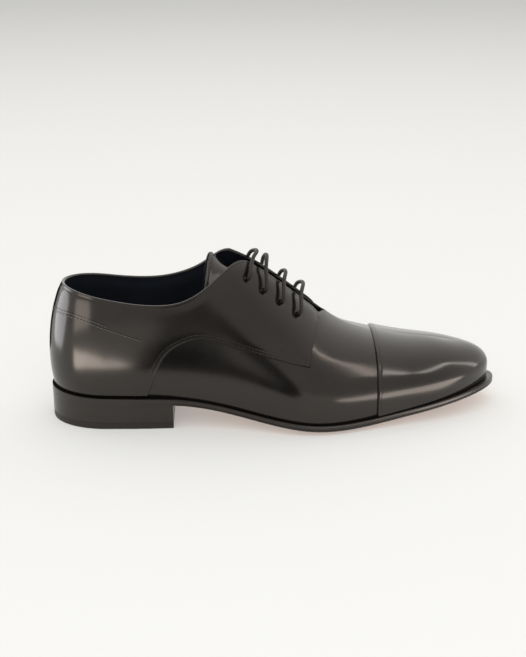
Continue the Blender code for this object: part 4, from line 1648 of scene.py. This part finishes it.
@dataclass(frozen=True)
class Softbox:
    """A soft light: its place and size in millimetres, its bearing and height in degrees, and its glow.

    A bearing of 0 is before the lateral side and 90 before the toe. A light 90 degrees high looks
    straight down, and one at -90 looks up. Where pieces are named as lit, it lights no others.
    """

    name: str
    place: Triple
    bearing: float
    high: float
    size: tuple[float, float]
    glow: float
    colour: Triple = (1.0, 1.0, 1.0)
    use: LightUse = LightUse.POLISH
    shape: str = "RECTANGLE"
    roll: float = 0.0
    shadow: bool = True
    lit: tuple[str, ...] = ()

    def build(self) -> None:
        """Builds the light."""
        data = bpy.data.lights.new(self.name, "AREA")
        data.shape = self.shape
        data.size, data.size_y = (side * MM for side in self.size)
        data.energy = self.glow * math.pi * data.size * data.size_y
        data.color = self.colour
        data.use_shadow = self.shadow
        made = bpy.data.objects.new(self.name, data)
        made.location = to_frame(np.array(self.place))
        turn = Euler((math.radians(90 - self.high), 0.0, math.radians(self.bearing))).to_quaternion()
        made.rotation_mode = "QUATERNION"
        made.rotation_quaternion = turn @ Quaternion((0.0, 0.0, 1.0), math.radians(self.roll))
        made.visible_camera = False
        made.visible_diffuse = self.use is LightUse.BODY
        made.visible_glossy = self.use is LightUse.POLISH
        bpy.context.scene.collection.objects.link(made)
        if self.lit:
            keep_to(made, self.lit)


WARM = (1.0, 0.93, 0.86)
COOL = (0.90, 0.93, 1.0)
VAMP = ("upper_shell",)
CAP = ("toe_cap_layer",)
FOREPART = ("upper_shell", "toe_cap_layer", "upper_stitches")
EDGES = ("outsole_leather",)
TONGUE = ("tongue_leather",)
FLOOR = ("studio_floor", "heel_card")
COUNTER = ("quarter_lateral_layer", "quarter_medial_layer", "heel_rows")
SOFTBOXES = (
    Softbox("front_fill", (150, -2200, 1500), 0, 34, (2600, 2200), 1.4, use=LightUse.BODY),
    Softbox(
        "overhead", (150, 0, 3000), 0, 90, (3000, 3000), 3.2,
        use=LightUse.BODY, shadow=False, lit=FLOOR,
    ),
    Softbox("vamp_strip", (1484, -794, 1392), 59.5, 42, (840, 64), 13.5, WARM, roll=65, lit=VAMP),
    Softbox("cap_strip", (1605, -739, 1303), 62.5, 39.5, (890, 170), 5.5, roll=23, lit=CAP),
    Softbox("toe_side", (925, -46, 305), 87, 22, (600, 75), 3.6, roll=-69, lit=CAP),
    Softbox("toe_bounce", (334, -112, 1), 33, -90, (190, 140), 3.1, WARM, shape="ELLIPSE", lit=FOREPART),
    Softbox("edge_bounce", (240, -100, 1), 22, -90, (230, 90), 4.6, WARM, lit=EDGES),
    Softbox("tongue_glow", (306, -556, 927), 20, 55, (1300, 800), 1.5, COOL, lit=TONGUE),
    Softbox("heel_window", (-190, 24, 72), -90, 0, (165, 180), 2.9, COOL, shape="ELLIPSE", lit=COUNTER),
    Softbox("heel_lamp", (-154, -198, 118), -46, 0, (140, 130), 2.7, WARM, roll=10, lit=COUNTER),
)


class CardRow(NamedTuple):
    """One row of a card: its place and its two sides, in millimetres."""

    y: float
    z: float
    left: float
    right: float


# Rows of the dark card whose painted reflection darkens the quarter's polish by the waist.
WAIST_CARD = (
    CardRow(-128, 0.8, 50, 130),
    CardRow(-240, 0.8, 50, 130),
    CardRow(-240, 30, 68, 130),
    CardRow(-240, 60, 73, 125),
    CardRow(-240, 82, 75, 105),
    CardRow(-240, 150, 82, 92),
)
# Rows of the warm glowing card whose painted reflection lights the counter's polish at the heel.
HEEL_CARD = (
    CardRow(-84, 0.8, -81, -65),
    CardRow(-107, 0.8, -114, -47),
    CardRow(-120, 0.8, -135, -37),
    CardRow(-137, 0.8, -163, 2),
    CardRow(-140, 0.8, -168, 38),
    CardRow(-146, 0.8, -171, 40),
    CardRow(-157, 0.8, -154, 36),
    CardRow(-177, 0.8, -124, 21),
    CardRow(-200, 0.8, -88, -3),
)
# Rows of the dark card beside the heel on the far side: a painted dark reflection.
FAR_CARD = (CardRow(115, 0.8, -110, 0), CardRow(115, 95, -110, 0))


@dataclass
class Studio:
    """Pale floor, soft light and camera."""

    eye_mm: Triple = (109.9, -763.8, 328.6)
    azimuth: float = math.radians(-2.5)
    pitch: float = math.radians(19.5)
    lens: float = 65.75
    sensor: float = 36.0
    floor_mm: float = 7000.0
    floor_tone: Triple = (0.485, 0.484, 0.473)
    sky: Triple = (1.0, 0.99, 0.97)
    sky_before: float = 0.65
    sky_behind: float = 1.4
    sky_turn: float = 0.7
    card_soft: float = 5.0
    card_tone: Triple = (0.004, 0.004, 0.004)
    # Glow of the warm floor card that paints a warm reflection on the counter.
    heel_glow: float = 7.0

    def camera(self) -> None:
        """Places the camera at the photo's angle."""
        data = bpy.data.cameras.new("photo_camera")
        data.lens = self.lens
        data.sensor_width = self.sensor
        made = bpy.data.objects.new("photo_camera", data)
        made.location = to_frame(np.array(self.eye_mm))
        made.rotation_euler = (math.pi / 2 - self.pitch, 0.0, self.azimuth)
        bpy.context.scene.collection.objects.link(made)
        bpy.context.scene.camera = made

    @staticmethod
    def sheet(name: str, rows: Array, tone: Triple) -> bpy.types.Object:
        """Lays a plain sheet without gloss on the stage.

        Args:
            name: Name of the sheet.
            rows: Rows of points, in millimetres.
            tone: Its colour.

        Returns:
            The object.
        """
        mesh = bpy.data.meshes.new(name)
        places = np.arange(rows.shape[0] * rows.shape[1]).reshape(rows.shape[:2])
        faces = np.stack([places[:-1, :-1], places[:-1, 1:], places[1:, 1:], places[1:, :-1]], axis=-1)
        mesh.from_pydata(to_frame(rows.reshape(-1, 3)).tolist(), [], faces.reshape(-1, 4).tolist())
        paint = bpy.data.materials.new(name)
        paint.use_nodes = True
        shader = paint.node_tree.nodes["Principled BSDF"]
        shader.inputs["Base Color"].default_value = (*tone, 1)
        shader.inputs["Roughness"].default_value = SHEET_ROUGH
        shader.inputs["Specular IOR Level"].default_value = 0.0
        mesh.materials.append(paint)
        made = bpy.data.objects.new(name, mesh)
        bpy.context.scene.collection.objects.link(made)
        return made

    def floor(self) -> None:
        """Lays the pale floor."""
        reach = self.floor_mm
        rows = [[(x, reach, 0.0), (x, -reach, 0.0)] for x in (-reach, reach)]
        self.sheet("studio_floor", np.array(rows), self.floor_tone)

    def card(self, name: str, places: Sequence[CardRow], tone: Triple) -> bpy.types.Object:
        """Lays a card with soft sides by the shoe, which shows in the polish alone as a painted reflection.

        Args:
            name: Name of the card.
            places: Its rows.
            tone: Its colour.

        Returns:
            The object.
        """
        soft = self.card_soft
        rows = []
        for row in places:
            sides = (row.left - soft, row.left + soft, row.right - soft, row.right + soft)
            rows.append([(side, row.y, row.z) for side in sides])
        made = self.sheet(name, np.array(rows), tone)
        inner = made.data.attributes.new("inner", "FLOAT", "POINT")
        inner.data.foreach_set("value", (0.0, 1.0, 1.0, 0.0) * len(rows))
        made.visible_camera = False
        made.visible_diffuse = False
        made.visible_shadow = False
        return made

    @staticmethod
    def glow(made: bpy.types.Object, colour: Triple, sides: float, middle: float) -> None:
        """Gives a card its glow.

        Args:
            made: The card.
            colour: Colour of the glow.
            sides: Its strength at the card's sides.
            middle: Its strength between them.
        """
        tree = made.data.materials[0].node_tree
        nodes = Nodes(tree)
        inner = nodes.add("ShaderNodeAttribute", attribute_name="inner").outputs["Fac"]
        shader = tree.nodes["Principled BSDF"]
        shader.inputs["Emission Color"].default_value = (*colour, 1)
        tree.links.new(nodes.remap(inner, sides, middle), shader.inputs["Emission Strength"])

    def cards(self) -> None:
        """Sets dark cards at the waist and behind the heel, which paint dark reflections into the polish,
        and a warm glowing one on the floor at the heel, which paints a warm reflection on the counter.
        """
        # Dark cards seen only in the polish: painted dark reflections.
        for name, rows in (("waist_card", WAIST_CARD), ("far_card", FAR_CARD)):
            self.glow(self.card(name, rows, self.card_tone), self.sky, self.sky_before, 0.0)
        # A warm glowing card on the floor, seen only in the counter's polish: a painted warm reflection.
        warm = self.card("heel_card", HEEL_CARD, self.floor_tone)
        self.glow(warm, WARM, 0.0, self.heel_glow)
        keep_to(warm, COUNTER)

    def light(self) -> None:
        """Sets the softboxes and a sky that is brighter behind the shoe than before it."""
        world = bpy.data.worlds.new("studio_sky")
        world.use_nodes = True
        nodes = Nodes(world.node_tree)
        sky = world.node_tree.nodes["Background"]
        sky.inputs["Color"].default_value = (*self.sky, 1)
        toward = nodes.add("ShaderNodeTexCoord").outputs["Generated"]
        across = nodes.add("ShaderNodeSeparateXYZ", {"Vector": toward}).outputs["Y"]
        glow = nodes.remap(across, self.sky_before, self.sky_behind, -self.sky_turn, self.sky_turn)
        world.node_tree.links.new(glow, sky.inputs["Strength"])
        bpy.context.scene.world = world
        for softbox in SOFTBOXES:
            softbox.build()
        bpy.context.scene.view_settings.view_transform = "Standard"

    def build(self) -> None:
        """Builds the whole studio."""
        self.camera()
        self.floor()
        self.cards()
        self.light()


def main() -> None:
    """Builds the shoe's finish and its studio."""
    logging.basicConfig(level=logging.INFO, format="%(name)s %(message)s")
    bench = Workbench()
    eyelets = Eyelets(bench)
    pins = eyelets.pins()
    stitching = Stitching(bench, StitchTree())

    upper = Upper(bench).build()
    eyelets.punch(upper, pins)
    bench.seat(upper, "upper_leather", "upper")
    cap = ToeCap(bench)
    bench.seat(cap.build(), "upper_leather", "toe_cap")
    lines, rows, row_shade_lines = [cap.stitch_line()], [], []
    for side in Side:
        quarter = Quarter(bench, side, eyelets)
        layer = quarter.build()
        eyelets.punch(layer, pins)
        bench.seat(layer, "upper_leather", f"quarter_{side.name.lower()}")
        lines += quarter.stitch_lines()
        heel_rows = HeelRows(quarter)
        rows += heel_rows.lines()
        row_shade_lines += heel_rows.lines(heel_rows.shade_raise)
    bpy.data.objects.remove(pins)
    tongue = Tongue(bench)
    bench.seat(tongue.build(), "upper_leather", "tongue")
    lines.append(tongue.stitch_line())
    stitching.sew("upper_stitches", lines, "upper_leather")
    stitching.sew("heel_rows", rows, "upper_leather", ROW_THREAD_AND_HIGHLIGHT)
    # Matte black lines over the heel rows: painted shade of each row's groove.
    stitching.sew("heel_row_painted_shade", row_shade_lines, "upper_leather", WELT_AND_SHADE)
    sole = Sole(bench)
    bench.seat(sole.outsole(), "sole_leather", "outsole")
    bench.seat(sole.footbed(), "lining", "insole")
    heel = Heel(bench)
    bench.seat(heel.block(), "heel_leather", "heel_stack")
    bench.seat(heel.rubber(), "heel_rubber", "heel_top_piece")
    bench.seat(Lace(bench, eyelets).build(), "lace_cord", "lace")
    Studio().build()


if __name__ == "__main__":
    main()
